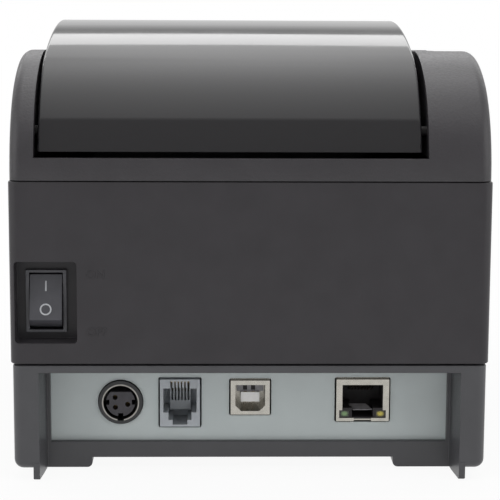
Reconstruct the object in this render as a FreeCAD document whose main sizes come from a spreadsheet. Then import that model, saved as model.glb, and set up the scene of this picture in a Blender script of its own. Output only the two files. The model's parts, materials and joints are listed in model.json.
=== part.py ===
import FreeCAD, Part
import math
import os

import Sketcher
from FreeCAD import Placement, Rotation, Vector

# Receipt printer with a clamshell lid, in millimetres.
# Origin: on the floor below the middle of the casing. +Z is up, the paper leaves at the front (-Y),
# and the sockets and the switch are on the rear (+Y).

# Driving dimensions: name, value, meaning
DIMENSIONS = [
    ("body_w", 145.0, "casing width"),
    ("body_l", 190.0, "casing length"),
    ("base_step", 0.6, "base set in from the casing's sides"),
    ("wall", 2.2, "casing wall"),
    ("corner_r", 3.0, "upright corner radius"),
    ("edge_r", 3.5, "shroud edge radius"),
    ("rim_r", 0.5, "radius of the casings' rims"),
    ("seam", 0.5, "open line between casings"),
    ("fit_gap", 0.2, "clearance of seated pieces"),
    ("run_gap", 0.06, "radial clearance of a running fit"),
    ("move_gap", 0.3, "clearance beside a moving piece"),
    ("tongue_t", 1.2, "locating tongue thickness"),
    ("tongue_h", 2.7, "locating tongue height"),
    ("foot_h", 0.4, "reach of the rubber feet below the corner pads"),
    ("foot_r", 7.0, "rubber foot radius"),
    ("foot_side", 13.9, "rubber foot inset from the base's side"),
    ("foot_end", 37.0, "rubber foot inset from the casing's end"),
    ("foot_edge", 0.3, "rubber foot bottom chamfer"),
    ("foot_seat", 1.5, "depth of the rubber feet's seats in the pads"),
    ("pad_drop", 3.2, "depth of the corner pads below the floor"),
    ("pad_l", 36.0, "corner pad length"),
    ("pad_left_w", 23.0, "inner edge of the pads on +X, in from the base's side"),
    ("pad_right_w", 26.8, "inner edge of the pads on -X, in from the base's side"),
    ("pad_r", 1.6, "edge radius of the corner pads"),
    ("base_r", 2.8, "bottom edge radius of the base"),
    ("floor_t", 2.0, "base floor thickness"),
    ("base_top", 35.9, "height of the base's top edge"),
    ("housing_top", 91.8, "height of the housing's top edge"),
    ("bay_side", 7.9, "base width beside the port bay's opening"),
    ("bay_depth", 16.0, "depth of the socket plate in the port bay"),
    ("sill_in", 14.0, "port bay's sill and the corner pads, in from the casing's ends"),
    ("sill_h", 5.0, "sill height above the base's underside"),
    ("bay_draft", 1.2, "inward lean of the port bay's sides over their depth"),
    ("bay_frame", 1.0, "upright border of the socket plate's window"),
    ("plate_lap", 0.6, "reach of the socket plate behind that border"),
    ("lip_h", 2.2, "lip over the port bay"),
    ("fin_t", 1.9, "side fin thickness at its rear edge"),
    ("plate_t", 1.0, "interface plate thickness"),
    ("plate_foot", 10.0, "interface plate's bottom flange"),
    ("plate_foot_half", 40.0, "half width of that flange"),
    ("board_z", 30.0, "height of the board's underside"),
    ("board_t", 1.6, "board thickness"),
    ("board_clear", 2.0, "gap from the board to the pillars"),
    ("board_l", 70.0, "board length"),
    ("board_back", 1.0, "gap from the board to the plate"),
    ("post_r", 3.2, "board post radius"),
    ("post_side", 5.0, "board post inset from the board's side"),
    ("post_in", 8.0, "board post inset from the board's front edge"),
    ("post_gap", 40.0, "board post spacing along"),
    ("pillar_r", 4.0, "chassis pillar radius"),
    ("pillar_side", 9.9, "chassis pillar inset from the base's side"),
    ("pillar_end", 57.0, "chassis pillar inset from the casing's end"),
    ("screw_r", 1.5, "screw shank radius"),
    ("head_r", 2.9, "screw head radius"),
    ("head_h", 1.8, "screw head height"),
    ("chassis_z", 38.0, "height of the chassis underside"),
    ("chassis_t", 2.0, "chassis thickness"),
    ("chassis_gap", 2.6, "gap from the chassis edge to the casing wall"),
    ("socket_proud", 1.0, "reach of the sockets past the plate"),
    ("socket_gap", 0.45, "gap beside the platen rubber"),
    ("plate_gap", 0.5, "gap round the sockets in the plate"),
    ("plate_r", 0.7, "corner radius of the plate's square holes"),
    ("din_x", 40.1, "power socket position"),
    ("din_z", 20.8, "power socket height"),
    ("din_r", 6.85, "power socket radius"),
    ("din_ring_r", 5.8, "power socket shield radius"),
    ("din_ring_t", 0.4, "power socket shield thickness"),
    ("din_core_r", 4.5, "power socket core radius"),
    ("din_depth", 9.0, "power socket depth"),
    ("din_pin_r", 0.8, "power contact radius"),
    ("din_pin_circle", 2.3, "power contact circle radius"),
    ("din_body", 12.0, "power socket body length behind the plate"),
    ("din_key_w", 1.6, "power socket key width"),
    ("din_key_d", 1.0, "power socket key depth into the core"),
    ("din_split", 2.0, "opening of the power socket shield"),
    ("din_core_in", 0.5, "power socket core set back from the rim"),
    ("din_flat", 3.3, "height of the core's flat above its middle"),
    ("din_pin_in", 5.0, "power contacts set back from the rim"),
    ("jack_x", 21.6, "drawer jack position"),
    ("jack_w", 12.5, "drawer jack width"),
    ("jack_z0", 13.1, "drawer jack bottom"),
    ("jack_z1", 28.2, "drawer jack top"),
    ("jack_mouth_w", 10.4, "drawer jack mouth width"),
    ("jack_mouth_z0", 17.65, "drawer jack mouth bottom"),
    ("jack_mouth_z1", 25.3, "drawer jack mouth top"),
    ("jack_step_w", 7.2, "drawer jack latch step width"),
    ("jack_step_h", 2.4, "drawer jack latch step height"),
    ("jack_latch_w", 4.6, "drawer jack latch notch width"),
    ("jack_latch_h", 1.5, "drawer jack latch notch height"),
    ("jack_comb_w", 6.1, "drawer jack contact comb width"),
    ("jack_comb_h", 2.2, "drawer jack contact comb height"),
    ("jack_depth", 12.0, "drawer jack mouth depth"),
    ("jack_body", 15.0, "drawer jack body length behind the plate"),
    ("contact_w", 0.45, "jack contact width"),
    ("contact_pitch", 1.02, "jack contact spacing"),
    ("contact_drop", 3.6, "jack contact reach into the mouth"),
    ("usb_x", -0.33, "usb socket position"),
    ("usb_w", 12.2, "usb shell width"),
    ("usb_z0", 16.95, "usb shell bottom"),
    ("usb_z1", 27.8, "usb shell top"),
    ("usb_mouth_w", 9.3, "usb mouth width"),
    ("usb_mouth_z0", 18.05, "usb mouth bottom"),
    ("usb_mouth_z1", 26.4, "usb mouth top"),
    ("usb_bevel", 1.8, "bevel of the mouth's lower corners"),
    ("usb_tongue_w", 5.8, "usb tongue width"),
    ("usb_tongue_z0", 20.7, "usb tongue bottom"),
    ("usb_tongue_z1", 23.8, "usb tongue top"),
    ("usb_tongue_in", 1.6, "usb tongue set back from the rim"),
    ("usb_depth", 10.0, "usb mouth depth"),
    ("usb_body", 15.0, "usb shell length behind the plate"),
    ("lan_x", -35.5, "network jack position"),
    ("lan_w", 16.5, "network jack width"),
    ("lan_z0", 14.8, "network jack bottom"),
    ("lan_z1", 28.15, "network jack top"),
    ("lan_rim", 0.7, "network jack shield thickness"),
    ("lan_mouth_w", 12.7, "network jack mouth width"),
    ("lan_mouth_z0", 18.95, "network jack mouth bottom"),
    ("lan_mouth_z1", 26.4, "network jack mouth top"),
    ("lan_latch_w", 6.6, "network jack latch notch width"),
    ("lan_latch_h", 2.9, "network jack latch notch height"),
    ("lan_depth", 12.0, "network jack mouth depth"),
    ("lan_body", 18.0, "network jack length behind the plate"),
    ("lan_inset", 0.4, "network jack face thickness"),
    ("lan_strip", 1.0, "network jack face below the lamps"),
    ("lan_window_w", 14.6, "width of the lamp window in the face"),
    ("lan_window_z", 18.3, "top of the lamp window in the face"),
    ("lan_gate_w", 5.4, "opening below the latch notch"),
    ("led_w", 2.6, "network lamp width"),
    ("led_h", 1.9, "network lamp height"),
    ("led_t", 0.8, "network lamp thickness"),
    ("led_out", 5.6, "network lamp offset from the jack's middle"),
    ("led_z", 17.1, "network lamp height above the floor"),
    ("pocket_side", 1.6, "casing width beside the switch pocket"),
    ("pocket_w", 18.7, "switch pocket width"),
    ("pocket_r", 1.1, "switch pocket corner radius"),
    ("pocket_z0", 42.8, "switch pocket bottom"),
    ("pocket_z1", 67.7, "switch pocket top"),
    ("pocket_depth", 8.0, "switch pocket depth"),
    ("pocket_wall", 1.5, "switch pocket wall"),
    ("switch_side", 10.55, "switch middle, in from the casing's side"),
    ("switch_z", 54.6, "switch middle height"),
    ("bezel_w", 12.4, "switch bezel width"),
    ("bezel_h", 19.2, "switch bezel height"),
    ("bezel_t", 1.5, "switch bezel thickness"),
    ("switch_wall", 0.7, "switch body wall"),
    ("switch_body", 12.0, "switch body length behind the bezel"),
    ("rocker_w", 9.8, "rocker width"),
    ("rocker_half", 8.2, "rocker half height"),
    ("rocker_in", 1.0, "rocker face at its pressed end, past the pocket floor"),
    ("rocker_out", 4.6, "rocker face at its raised end, past the pocket floor"),
    ("rocker_face", 5.2, "raised end of the flat face below the middle"),
    ("rocker_pivot", 2.0, "pivot depth below the pocket floor"),
    ("rocker_pin_r", 1.0, "rocker pivot radius"),
    ("arch_depth", 45.0, "depth of the shroud's rear arch"),
    ("shroud_step", 0.4, "shroud set in from the housing's sides"),
    ("arch_skirt", 0.7, "upright foot of the shroud below its arch"),
    ("arch_height", 36.0, "height of the shroud's rear arch"),
    ("arch_r", 33.0, "lower radius of the rear arch"),
    ("top_slope", 0.061, "fall of the shroud's top per length towards the front"),
    ("front_r", 20.0, "front radius of the shroud"),
    ("band_w", 19.5, "button band width, beside the lid on -X"),
    ("rim_w", 7.7, "casing width beside the lid on +X"),
    ("mouth_z", 98.7, "bottom of the lid opening"),
    ("lid_gap_right", 1.8, "gap beside the lid on -X"),
    ("lid_gap_left", 1.0, "gap beside the lid on +X"),
    ("lid_edge_z", 100.4, "lid's lower rear edge"),
    ("lid_r", 39.6, "lid rear radius"),
    ("lid_in", 41.6, "lid rear arc centre, in from the rear"),
    ("lid_rise", 90.1, "lid rear arc centre height"),
    ("crest_y", 0.0, "lid crest position"),
    ("crest_z", 137.0, "lid crest height"),
    ("lid_front_in", 49.0, "lid front edge, in from the casing's front"),
    ("lid_front_z", 127.5, "lid front edge height"),
    ("lid_t", 2.2, "lid wall"),
    ("lid_skirt", 6.0, "lid front skirt height"),
    ("lid_edge_r", 0.8, "lid edge radius"),
    ("hinge_in", 9.5, "hinge axis, in from the rear"),
    ("hinge_z", 106.3, "hinge axis height"),
    ("hinge_r", 1.5, "hinge pin radius"),
    ("hinge_boss_r", 4.0, "hinge boss radius"),
    ("hinge_boss_l", 4.0, "hinge boss length"),
    ("liner_t", 1.8, "lid liner thickness"),
    ("liner_in", 8.0, "lid liner set in from the lid's sides"),
    ("liner_end", 13.4, "rear end of the lid liner, ahead of the lid's rear arc centre"),
    ("paper_w", 80.0, "paper roll width"),
    ("paper_r", 40.0, "paper roll space radius"),
    ("paper_play", 1.3, "side play of the roll"),
    ("bucket_in", 107.0, "paper bucket axis, in from the casing's front"),
    ("bucket_z", 84.0, "paper bucket axis height"),
    ("bucket_t", 1.8, "paper bucket wall"),
    ("bucket_front_z", 98.0, "paper bucket front edge"),
    ("bucket_rear_z", 112.0, "paper bucket rear edge"),
    ("bucket_rib", 14.0, "half length of the bucket's ribs"),
    ("bucket_rib_t", 2.0, "thickness of the bucket's ribs"),
    ("platen_in", 53.0, "platen axis, in from the casing's front"),
    ("platen_z", 112.0, "platen axis height"),
    ("platen_r", 5.0, "platen rubber radius"),
    ("platen_l", 82.0, "platen rubber length"),
    ("spindle_r", 2.5, "platen shaft radius"),
    ("bush_r", 4.0, "platen bushing radius"),
    ("lug_t", 1.8, "lid lug thickness"),
    ("lug_half", 4.6, "lid lug half width"),
    ("frame_t", 2.1, "print frame side thickness"),
    ("frame_in", 5.0, "print frame set back from the casing's front"),
    ("frame_tail", 9.0, "print frame reach behind the platen axis"),
    ("frame_top", 116.0, "print frame top beside the platen"),
    ("frame_step", 16.0, "print frame step, ahead of the platen axis"),
    ("frame_step_z", 95.0, "print frame top below the cutter"),
    ("frame_floor", 2.0, "print frame floor thickness"),
    ("notch_flare", 0.7, "extra room in the platen notch"),
    ("gear_m", 0.8, "feed gear module"),
    ("gear_w", 4.0, "feed gear width"),
    ("platen_teeth", 20, "platen gear teeth"),
    ("idler_teeth", 30, "idler gear teeth"),
    ("pinion_teeth", 14, "feed pinion teeth"),
    ("backlash", 0.16, "tooth thinning"),
    ("idler_bore", 2.0, "idler pin radius"),
    ("motor_r", 17.5, "feed motor radius"),
    ("motor_l", 22.0, "feed motor length"),
    ("motor_dy", -8.8, "feed motor axis from the idler, along"),
    ("motor_shaft_r", 1.5, "feed motor shaft radius"),
    ("flange_r", 5.0, "feed motor locating collar radius"),
    ("head_gap", 0.1, "gap from the platen to the print head"),
    ("head_t", 1.2, "print head thickness"),
    ("head_z0", 103.0, "print head bottom"),
    ("head_z1", 117.5, "print head top"),
    ("sink_t", 4.7, "heat sink thickness"),
    ("sink_z0", 100.0, "heat sink bottom"),
    ("sink_groove", 2.0, "heat sink groove depth"),
    ("bar_t", 2.0, "print frame cross bar thickness"),
    ("bar_z1", 114.5, "print frame cross bar top"),
    ("bar_z0", 97.5, "print frame cross bar bottom"),
    ("spring_t", 0.5, "head spring thickness"),
    ("spring_gap", 2.5, "height of the head spring"),
    ("spring_w", 12.0, "head spring width"),
    ("cut_z", 120.2, "underside of the fixed blade"),
    ("blade_t", 1.2, "blade thickness"),
    ("blade_lap", 8.0, "fixed blade depth"),
    ("blade_rest", 10.0, "moving blade edge ahead of the platen axis at rest"),
    ("blade_shoulder", 18.0, "moving blade shoulder, ahead of the platen axis"),
    ("blade_in", 11.0, "moving blade front end, in from the casing's front"),
    ("blade_vee", 2.5, "depth of the moving blade's vee"),
    ("rack_m", 0.6, "cutter gear module"),
    ("rack_w", 3.5, "rack width"),
    ("rack_t", 1.8, "rack back thickness"),
    ("rack_l", 22.0, "rack length"),
    ("cutter_in", 22.0, "cutter shaft axis, in from the casing's front"),
    ("cutter_teeth", 16, "cutter pinion teeth"),
    ("cutter_shaft_r", 2.0, "cutter shaft radius"),
    ("cutter_gear_teeth", 24, "cutter gear teeth"),
    ("cutter_motor_teeth", 12, "cutter motor pinion teeth"),
    ("cutter_gear_w", 3.0, "cutter gear width"),
    ("cutter_motor_dy", -8.6, "cutter motor axis from the shaft, along"),
    ("cutter_motor_r", 8.0, "cutter motor radius"),
    ("cutter_motor_l", 25.0, "cutter motor length"),
    ("cutter_motor_shaft_r", 1.0, "cutter motor shaft radius"),
    ("cutter_floor", 1.5, "cutter frame floor thickness"),
    ("cutter_tail", 14.5, "cutter frame reach behind the shaft"),
    ("cover_gap", 5.5, "paper exit width"),
    ("cover_z", 126.5, "cutter cover's rear edge height"),
    ("cover_r", 14.0, "cutter cover front radius"),
    ("cover_t", 2.0, "cutter cover wall"),
    ("cover_lip", 5.5, "cutter cover rear lip height"),
    ("cover_skirt_z", 99.4, "cutter cover bottom"),
    ("band_mid", 9.8, "middle of the buttons, in from the casing's side"),
    ("release_y", -31.0, "release button middle"),
    ("release_l", 18.0, "release button length"),
    ("release_w", 10.0, "release button width"),
    ("release_top", 125.3, "release button top"),
    ("release_h", 10.0, "release button height"),
    ("feed_y", -8.0, "feed button middle"),
    ("feed_r", 4.6, "feed button radius"),
    ("feed_top", 126.3, "feed button top"),
    ("feed_h", 6.0, "feed button cap height"),
    ("collar", 1.2, "button retaining collar"),
    ("stem_r", 1.8, "feed button stem radius"),
    ("feed_travel", 0.5, "feed button travel"),
    ("tact_w", 6.0, "tact switch width"),
    ("tact_h", 3.5, "tact switch height"),
    ("panel_z", 112.0, "button board height"),
    ("panel_t", 1.2, "button board thickness"),
    ("panel_y0", -15.0, "button board front end"),
    ("panel_y1", 32.0, "button board rear end"),
    ("lamp_y", 8.0, "first light pipe position"),
    ("lamp_gap", 8.0, "light pipe spacing"),
    ("lamp_r", 1.5, "light pipe radius"),
    ("sensor_w", 7.0, "paper sensor width"),
    ("sensor_t", 3.0, "paper sensor depth"),
    ("sensor_z", 86.0, "paper sensor bottom"),
]

LAMP_COUNT = 3
SINK_GROOVES = 3
JACK_CONTACTS = 6
POWER_PIN_ANGLES = (42.0, 197.0, 315.0)
INVOLUTE_STEPS = 4
PRESSURE_ANGLE = math.radians(20.0)

doc = FreeCAD.newDocument("receipt_printer")
sheet = doc.addObject("Spreadsheet::Sheet", "Dims")


# A number that keeps the expression it was worked out with
class Size:
    def __init__(self, value, text):
        self.value = float(value)
        self.text = text

    def __float__(self):
        return self.value

    def __add__(self, other):
        other = as_size(other)
        return Size(self.value + other.value, f"({self.text} + {other.text})")

    def __radd__(self, other):
        return as_size(other) + self

    def __sub__(self, other):
        other = as_size(other)
        return Size(self.value - other.value, f"({self.text} - {other.text})")

    def __rsub__(self, other):
        return as_size(other) - self

    def __mul__(self, other):
        other = as_size(other)
        return Size(self.value * other.value, f"({self.text} * {other.text})")

    def __rmul__(self, other):
        return as_size(other) * self

    def __truediv__(self, other):
        other = as_size(other)
        return Size(self.value / other.value, f"({self.text} / {other.text})")

    def __rtruediv__(self, other):
        return as_size(other) / self

    def __neg__(self):
        return Size(-self.value, f"(0 - {self.text})")


def as_size(number):
    if isinstance(number, Size):
        return number
    return Size(number, repr(float(number)) if number >= 0 else f"(0 - {-float(number)!r})")


def root(size):
    return Size(math.sqrt(size.value), f"sqrt({size.text})")


# The driving dimensions go into the sheet, and are read back from it by name
class Dims:
    pass


def fill_sheet():
    for row, (name, value, meaning) in enumerate(DIMENSIONS, start=1):
        sheet.set(f"A{row}", meaning)
        sheet.set(f"B{row}", repr(value))
        sheet.setAlias(f"B{row}", name)
    doc.recompute()
    for name, value, meaning in DIMENSIONS:
        setattr(d, name, Size(sheet.get(name), f"Dims.{name}"))


# A worked-out size gets a row of its own in the sheet
def derived(name, size):
    row = len(DIMENSIONS) + len(derived_names) + 1
    derived_names.append(name)
    sheet.set(f"B{row}", "=" + size.text.replace("Dims.", ""))
    sheet.setAlias(f"B{row}", name)
    setattr(d, name, Size(size.value, f"Dims.{name}"))


d = Dims()
derived_names = []
fill_sheet()

# Main levels and places
derived("rear", d.body_l / 2)
derived("half_w", d.body_w / 2)
derived("base_half", d.half_w - d.base_step)
derived("foot_x", d.base_half - d.foot_side)
derived("foot_y", d.rear - d.foot_end)
derived("pad_left", d.base_half - d.pad_left_w)
derived("pad_right", d.base_half - d.pad_right_w)
derived("bay_half", d.base_half - d.bay_side)
derived("bay_outer", d.bay_half + d.fin_t)
derived("sill_half", d.bay_half - d.bay_draft)
derived("window_half", d.sill_half - d.bay_frame)
derived("plate_half", d.window_half + d.plate_lap)
derived("pillar_x", d.base_half - d.pillar_side)
derived("pillar_y", d.rear - d.pillar_end)
derived("board_half", d.pillar_x - d.pillar_r - d.board_clear)
derived("post_x", d.board_half - d.post_side)
derived("pocket_x1", d.half_w - d.pocket_side)
derived("pocket_x0", d.pocket_x1 - d.pocket_w)
derived("switch_x", d.half_w - d.switch_side)
derived("mouth_x0", d.band_w - d.half_w)
derived("mouth_x1", d.half_w - d.rim_w)
derived("lid_x0", d.mouth_x0 + d.lid_gap_right)
derived("lid_x1", d.mouth_x1 - d.lid_gap_left)
derived("mech_x", (d.lid_x0 + d.lid_x1) / 2)
derived("band_x", d.band_mid - d.half_w)
derived("lid_front", d.rear - d.lid_front_in)
derived("platen_y", d.platen_in - d.rear)
derived("bucket_y", d.bucket_in - d.rear)
derived("frame_front", d.rear - d.frame_in)
derived("frame_back", -d.platen_y - d.frame_tail)
derived("frame_step_y", d.frame_step - d.platen_y)
derived("blade_neck", d.blade_shoulder - d.platen_y)
derived("blade_end", d.rear - d.blade_in)
derived("rack_y0", -d.blade_end)
derived("rack_y1", d.rack_y0 + d.rack_l)
derived("cutter_y", d.cutter_in - d.rear)
derived("cutter_back", -d.cutter_y - d.cutter_tail)
derived("floor_z", d.foot_h + d.pad_drop)
derived("floor_top", d.floor_z + d.floor_t)
derived("sill_y", d.rear - d.sill_in)
derived("sill_z", d.floor_z + d.sill_h)
derived("bay_top", d.base_top - d.lip_h)
derived("plate_y1", d.rear - d.bay_depth)
derived("plate_y0", d.plate_y1 - d.plate_t)
derived("socket_y", d.plate_y1 + d.socket_proud)
derived("inner_half", d.half_w - d.wall)
derived("inner_rear", d.rear - d.wall)
derived("board_y1", d.plate_y0 - d.board_back)
derived("board_y0", d.board_y1 - d.board_l)
derived("chassis_top", d.chassis_z + d.chassis_t)
derived("pocket_y", d.rear - d.pocket_depth)
derived("shroud_z", d.housing_top + d.move_gap)
derived("shroud_half", d.half_w - d.shroud_step)
derived("spring_z", d.shroud_z + d.arch_skirt)
derived("hinge_y", d.rear - d.hinge_in)
derived("lid_cy", d.rear - d.lid_in)
derived("liner_back", d.lid_cy - d.liner_end)
derived("bay_x0", d.mech_x - d.paper_w / 2 - d.paper_play)
derived("bay_x1", d.mech_x + d.paper_w / 2 + d.paper_play)
derived("roller_x0", d.mech_x - d.platen_l / 2)
derived("roller_x1", d.mech_x + d.platen_l / 2)
derived("lug_x0", d.roller_x0 - d.socket_gap - d.lug_t)
derived("lug_x1", d.roller_x1 + d.socket_gap + d.lug_t)
derived("side_x0", d.lug_x0 - d.move_gap - d.frame_t)
derived("side_x1", d.lug_x1 + d.move_gap + d.frame_t)
derived("gear_x1", d.side_x0 - 2 * d.move_gap)
derived("gear_x0", d.gear_x1 - d.gear_w)
derived("platen_gear_r", d.gear_m * d.platen_teeth / 2)
derived("idler_r", d.gear_m * d.idler_teeth / 2)
derived("pinion_r", d.gear_m * d.pinion_teeth / 2)
derived("idler_z", d.platen_z - d.platen_gear_r - d.idler_r)
derived("motor_y", d.platen_y + d.motor_dy)
derived("motor_reach", d.idler_r + d.pinion_r)
derived("motor_z", d.idler_z - root(d.motor_reach * d.motor_reach - d.motor_dy * d.motor_dy))
derived("head_y1", d.platen_y - d.platen_r - d.head_gap)
derived("head_y0", d.head_y1 - d.head_t)
derived("sink_y0", d.head_y0 - d.sink_t)
derived("bar_y1", d.sink_y0 - d.spring_gap)
derived("blade_z1", d.cut_z - d.move_gap)
derived("blade_z0", d.blade_z1 - d.blade_t)
derived("blade_x0", d.roller_x0 - d.fit_gap)
derived("blade_x1", d.roller_x1 + d.fit_gap)
derived("blade_y", d.platen_y - d.blade_rest)
derived("rack_pitch_z", d.blade_z0 - d.rack_t - d.rack_m * 1.25)
derived("cutter_r", d.rack_m * d.cutter_teeth / 2)
derived("cutter_z", d.rack_pitch_z - d.cutter_r)
derived("cutter_gear_r", d.rack_m * d.cutter_gear_teeth / 2)
derived("cutter_motor_pr", d.rack_m * d.cutter_motor_teeth / 2)
derived("cutter_reach", d.cutter_gear_r + d.cutter_motor_pr)
derived("cutter_motor_y", d.cutter_y + d.cutter_motor_dy)
derived("cutter_motor_z",
        d.cutter_z - root(d.cutter_reach * d.cutter_reach - d.cutter_motor_dy * d.cutter_motor_dy))
derived("cover_y", -d.lid_front - d.cover_gap)


def bind(item, prop, size):
    size = as_size(size)
    item.setExpression(prop, size.text)


# Building blocks
def block(name, x, y, z):
    item = doc.addObject("Part::Box", name)
    for prop, axis, span in (("Length", "x", x), ("Width", "y", y), ("Height", "z", z)):
        bind(item, prop, as_size(span[1]) - span[0])
        bind(item, f"Placement.Base.{axis}", span[0])
    return item


AXIS_TURN = {
    "X": Rotation(Vector(0, 1, 0), 90),
    "Y": Rotation(Vector(1, 0, 0), -90),
    "Z": Rotation(),
}


# A cylinder along an axis: centre gives the other two coordinates in X, Y, Z order
def rod(name, axis, centre, radius, span):
    item = doc.addObject("Part::Cylinder", name)
    item.Placement = Placement(Vector(), AXIS_TURN[axis])
    bind(item, "Radius", radius)
    bind(item, "Height", as_size(span[1]) - span[0])
    others = [letter for letter in "XYZ" if letter != axis]
    bind(item, f"Placement.Base.{axis.lower()}", span[0])
    for letter, place in zip(others, centre):
        bind(item, f"Placement.Base.{letter.lower()}", place)
    return item


def fused(name, *pieces):
    item = doc.addObject("Part::MultiFuse", name)
    item.Shapes = list(pieces)
    return item


def group(name, *pieces):
    item = doc.addObject("Part::Compound", name)
    item.Links = list(pieces)
    return item


def cut(name, base, *tools):
    tool = tools[0] if len(tools) == 1 else fused(name + "_tools", *tools)
    item = doc.addObject("Part::Cut", name)
    item.Base = base
    item.Tool = tool
    return item


def common(name, base, tool):
    item = doc.addObject("Part::Common", name)
    item.Base = base
    item.Tool = tool
    return item


# Rounds the edges that pick accepts; pick gets an edge's bounding box and the radius comes from the sheet
def rounded(name, base, radius, pick):
    doc.recompute()
    item = doc.addObject("Part::Fillet", name)
    item.Base = base
    item.Edges = [
        (number, float(radius), float(radius))
        for number, edge in enumerate(base.Shape.Edges, start=1)
        if pick(edge.BoundBox)
    ]
    return item


def upright(box):
    return box.ZLength > 1 and box.XLength < 1e-6 and box.YLength < 1e-6


def level(box):
    return box.ZLength < 1e-6


def lengthwise(box):
    return box.YLength > 1 and box.XLength < 1e-6 and box.ZLength < 1e-6


# A corner of an outline: the run that starts here is straight, or an arc of the given radius
# whose centre is on the left (+1) or right (-1) of the run
class Corner:
    def __init__(self, u, v, radius=None, side=1):
        self.u = as_size(u)
        self.v = as_size(v)
        self.radius = radius
        self.side = side

    def point(self):
        return Vector(self.u.value, self.v.value, 0)


def arc_curve(start, end, radius, side):
    chord = end - start
    middle = (start + end) / 2
    left = Vector(-chord.y, chord.x, 0).normalize()
    reach = math.sqrt(max(radius ** 2 - (chord.Length / 2) ** 2, 0.0))
    centre = middle + left * (side * reach)
    first = math.atan2(start.y - centre.y, start.x - centre.x)
    last = math.atan2(end.y - centre.y, end.x - centre.x)
    circle = Part.Circle(centre, Vector(0, 0, 1), radius)
    if side > 0:
        return Part.ArcOfCircle(circle, first, last)
    return Part.ArcOfCircle(circle, last, first)


def place_point(sketch, geometry, vertex, corner):
    for kind, size, axis in (("DistanceX", corner.u, -2), ("DistanceY", corner.v, -1)):
        if abs(size.value) < 1e-9:
            sketch.addConstraint(Sketcher.Constraint("PointOnObject", geometry, vertex, axis))
            continue
        number = sketch.addConstraint(Sketcher.Constraint(kind, -1, 1, geometry, vertex, size.value))
        sketch.setExpression(f"Constraints[{number}]", size.text)


# A padded sketch: the outline lies on an origin plane and the pad runs along that plane's normal
def profile(name, plane, corners, span):
    body = doc.addObject("PartDesign::Body", name)
    sketch = body.newObject("Sketcher::SketchObject", name + "_outline")
    support = [item for item in body.Origin.OriginFeatures if item.Role == plane]
    sketch.AttachmentSupport = [(support[0], "")]
    sketch.MapMode = "FlatFace"
    bind(sketch, "AttachmentOffset.Base.z", span[0])
    ends = []
    for number, corner in enumerate(corners):
        after = corners[(number + 1) % len(corners)]
        if corner.radius is None:
            sketch.addGeometry(Part.LineSegment(corner.point(), after.point()), False)
            ends.append((1, 2))
        else:
            curve = arc_curve(corner.point(), after.point(), float(corner.radius), corner.side)
            sketch.addGeometry(curve, False)
            ends.append((1, 2) if corner.side > 0 else (2, 1))
    for number, corner in enumerate(corners):
        following = (number + 1) % len(corners)
        sketch.addConstraint(
            Sketcher.Constraint("Coincident", number, ends[number][1], following, ends[following][0]))
        place_point(sketch, number, ends[number][0], corner)
        if corner.radius is not None:
            radius = as_size(corner.radius)
            index = sketch.addConstraint(Sketcher.Constraint("Radius", number, radius.value))
            sketch.setExpression(f"Constraints[{index}]", radius.text)
    pad = body.newObject("PartDesign::Pad", name + "_pad")
    pad.Profile = sketch
    bind(pad, "Length", as_size(span[1]) - span[0])
    return body


# Spur gear across an X span, with an involute tooth centred at the phase angle (from +Y towards +Z)
def gear(name, teeth, module, span, centre, phase, bore):
    teeth = int(round(float(teeth)))
    module = float(module)
    pitch_r = module * teeth / 2
    base_r = pitch_r * math.cos(PRESSURE_ANGLE)
    tip_r = pitch_r + module
    root_r = pitch_r - 1.25 * module
    roll = math.tan(PRESSURE_ANGLE) - PRESSURE_ANGLE
    half = (math.pi / 2 - float(d.backlash) / module) / teeth + roll
    start_r = max(base_r, root_r)
    flank = [(root_r, half)] if root_r < base_r else []
    for step in range(INVOLUTE_STEPS + 1):
        radius = start_r + (tip_r - start_r) * step / INVOLUTE_STEPS
        lean = math.acos(min(1.0, base_r / radius))
        flank.append((radius, half - (math.tan(lean) - lean)))
    outline = []
    for tooth in range(teeth):
        middle = math.radians(phase) + 2 * math.pi * tooth / teeth
        side = [(radius, middle - turn) for radius, turn in flank]
        side += [(radius, middle + turn) for radius, turn in reversed(flank)]
        outline += [Vector(0, radius * math.cos(turn), radius * math.sin(turn)) for radius, turn in side]
    blank = Part.Face(Part.makePolygon(outline + outline[:1]))
    width = float(span[1]) - float(span[0])
    solid = blank.extrude(Vector(width, 0, 0))
    solid = solid.cut(Part.makeCylinder(float(bore), width, Vector(), Vector(1, 0, 0)))
    item = doc.addObject("Part::Feature", name)
    item.Shape = solid
    item.Placement = Placement(Vector(float(span[0]), float(centre[0]), float(centre[1])), Rotation())
    return item


# Angle that sets a gear in mesh with a driver whose teeth start at driver_phase
def mesh_phase(driver_teeth, driver_phase, driver, teeth, centre):
    line = math.degrees(math.atan2(float(centre[1]) - float(driver[1]), float(centre[0]) - float(driver[0])))
    offset = (line - driver_phase) * float(driver_teeth) / 360
    return line + 180 - (0.5 - offset) * 360 / float(teeth)


# A corner pad under the base, at the end of the casing that end names
def corner_pad(name, side, end):
    inner = d.pad_left if side > 0 else d.pad_right
    x = (inner, d.bay_outer) if side > 0 else (-d.bay_outer, -inner)
    y = (d.sill_y - d.pad_l, d.sill_y) if end > 0 else (-d.sill_y, d.pad_l - d.sill_y)
    low = float(d.foot_h)
    pad = block(name + "_blank", x, y, (d.foot_h, d.floor_top))
    return rounded(name, pad, d.pad_r, lambda box: lengthwise(box) and box.ZMax < low + 1e-6)


# Side plate of the port bay that reaches down beside the rear pad
def bay_fin(name, side):
    x = (d.sill_half, d.bay_outer) if side > 0 else (-d.bay_outer, -d.sill_half)
    low = float(d.foot_h)
    fin = block(name + "_blank", x, (d.sill_y - 1, d.rear), (d.foot_h, d.floor_top))
    return rounded(name, fin, d.rim_r, lambda box: box.ZMax < low + 1e-6)


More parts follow.
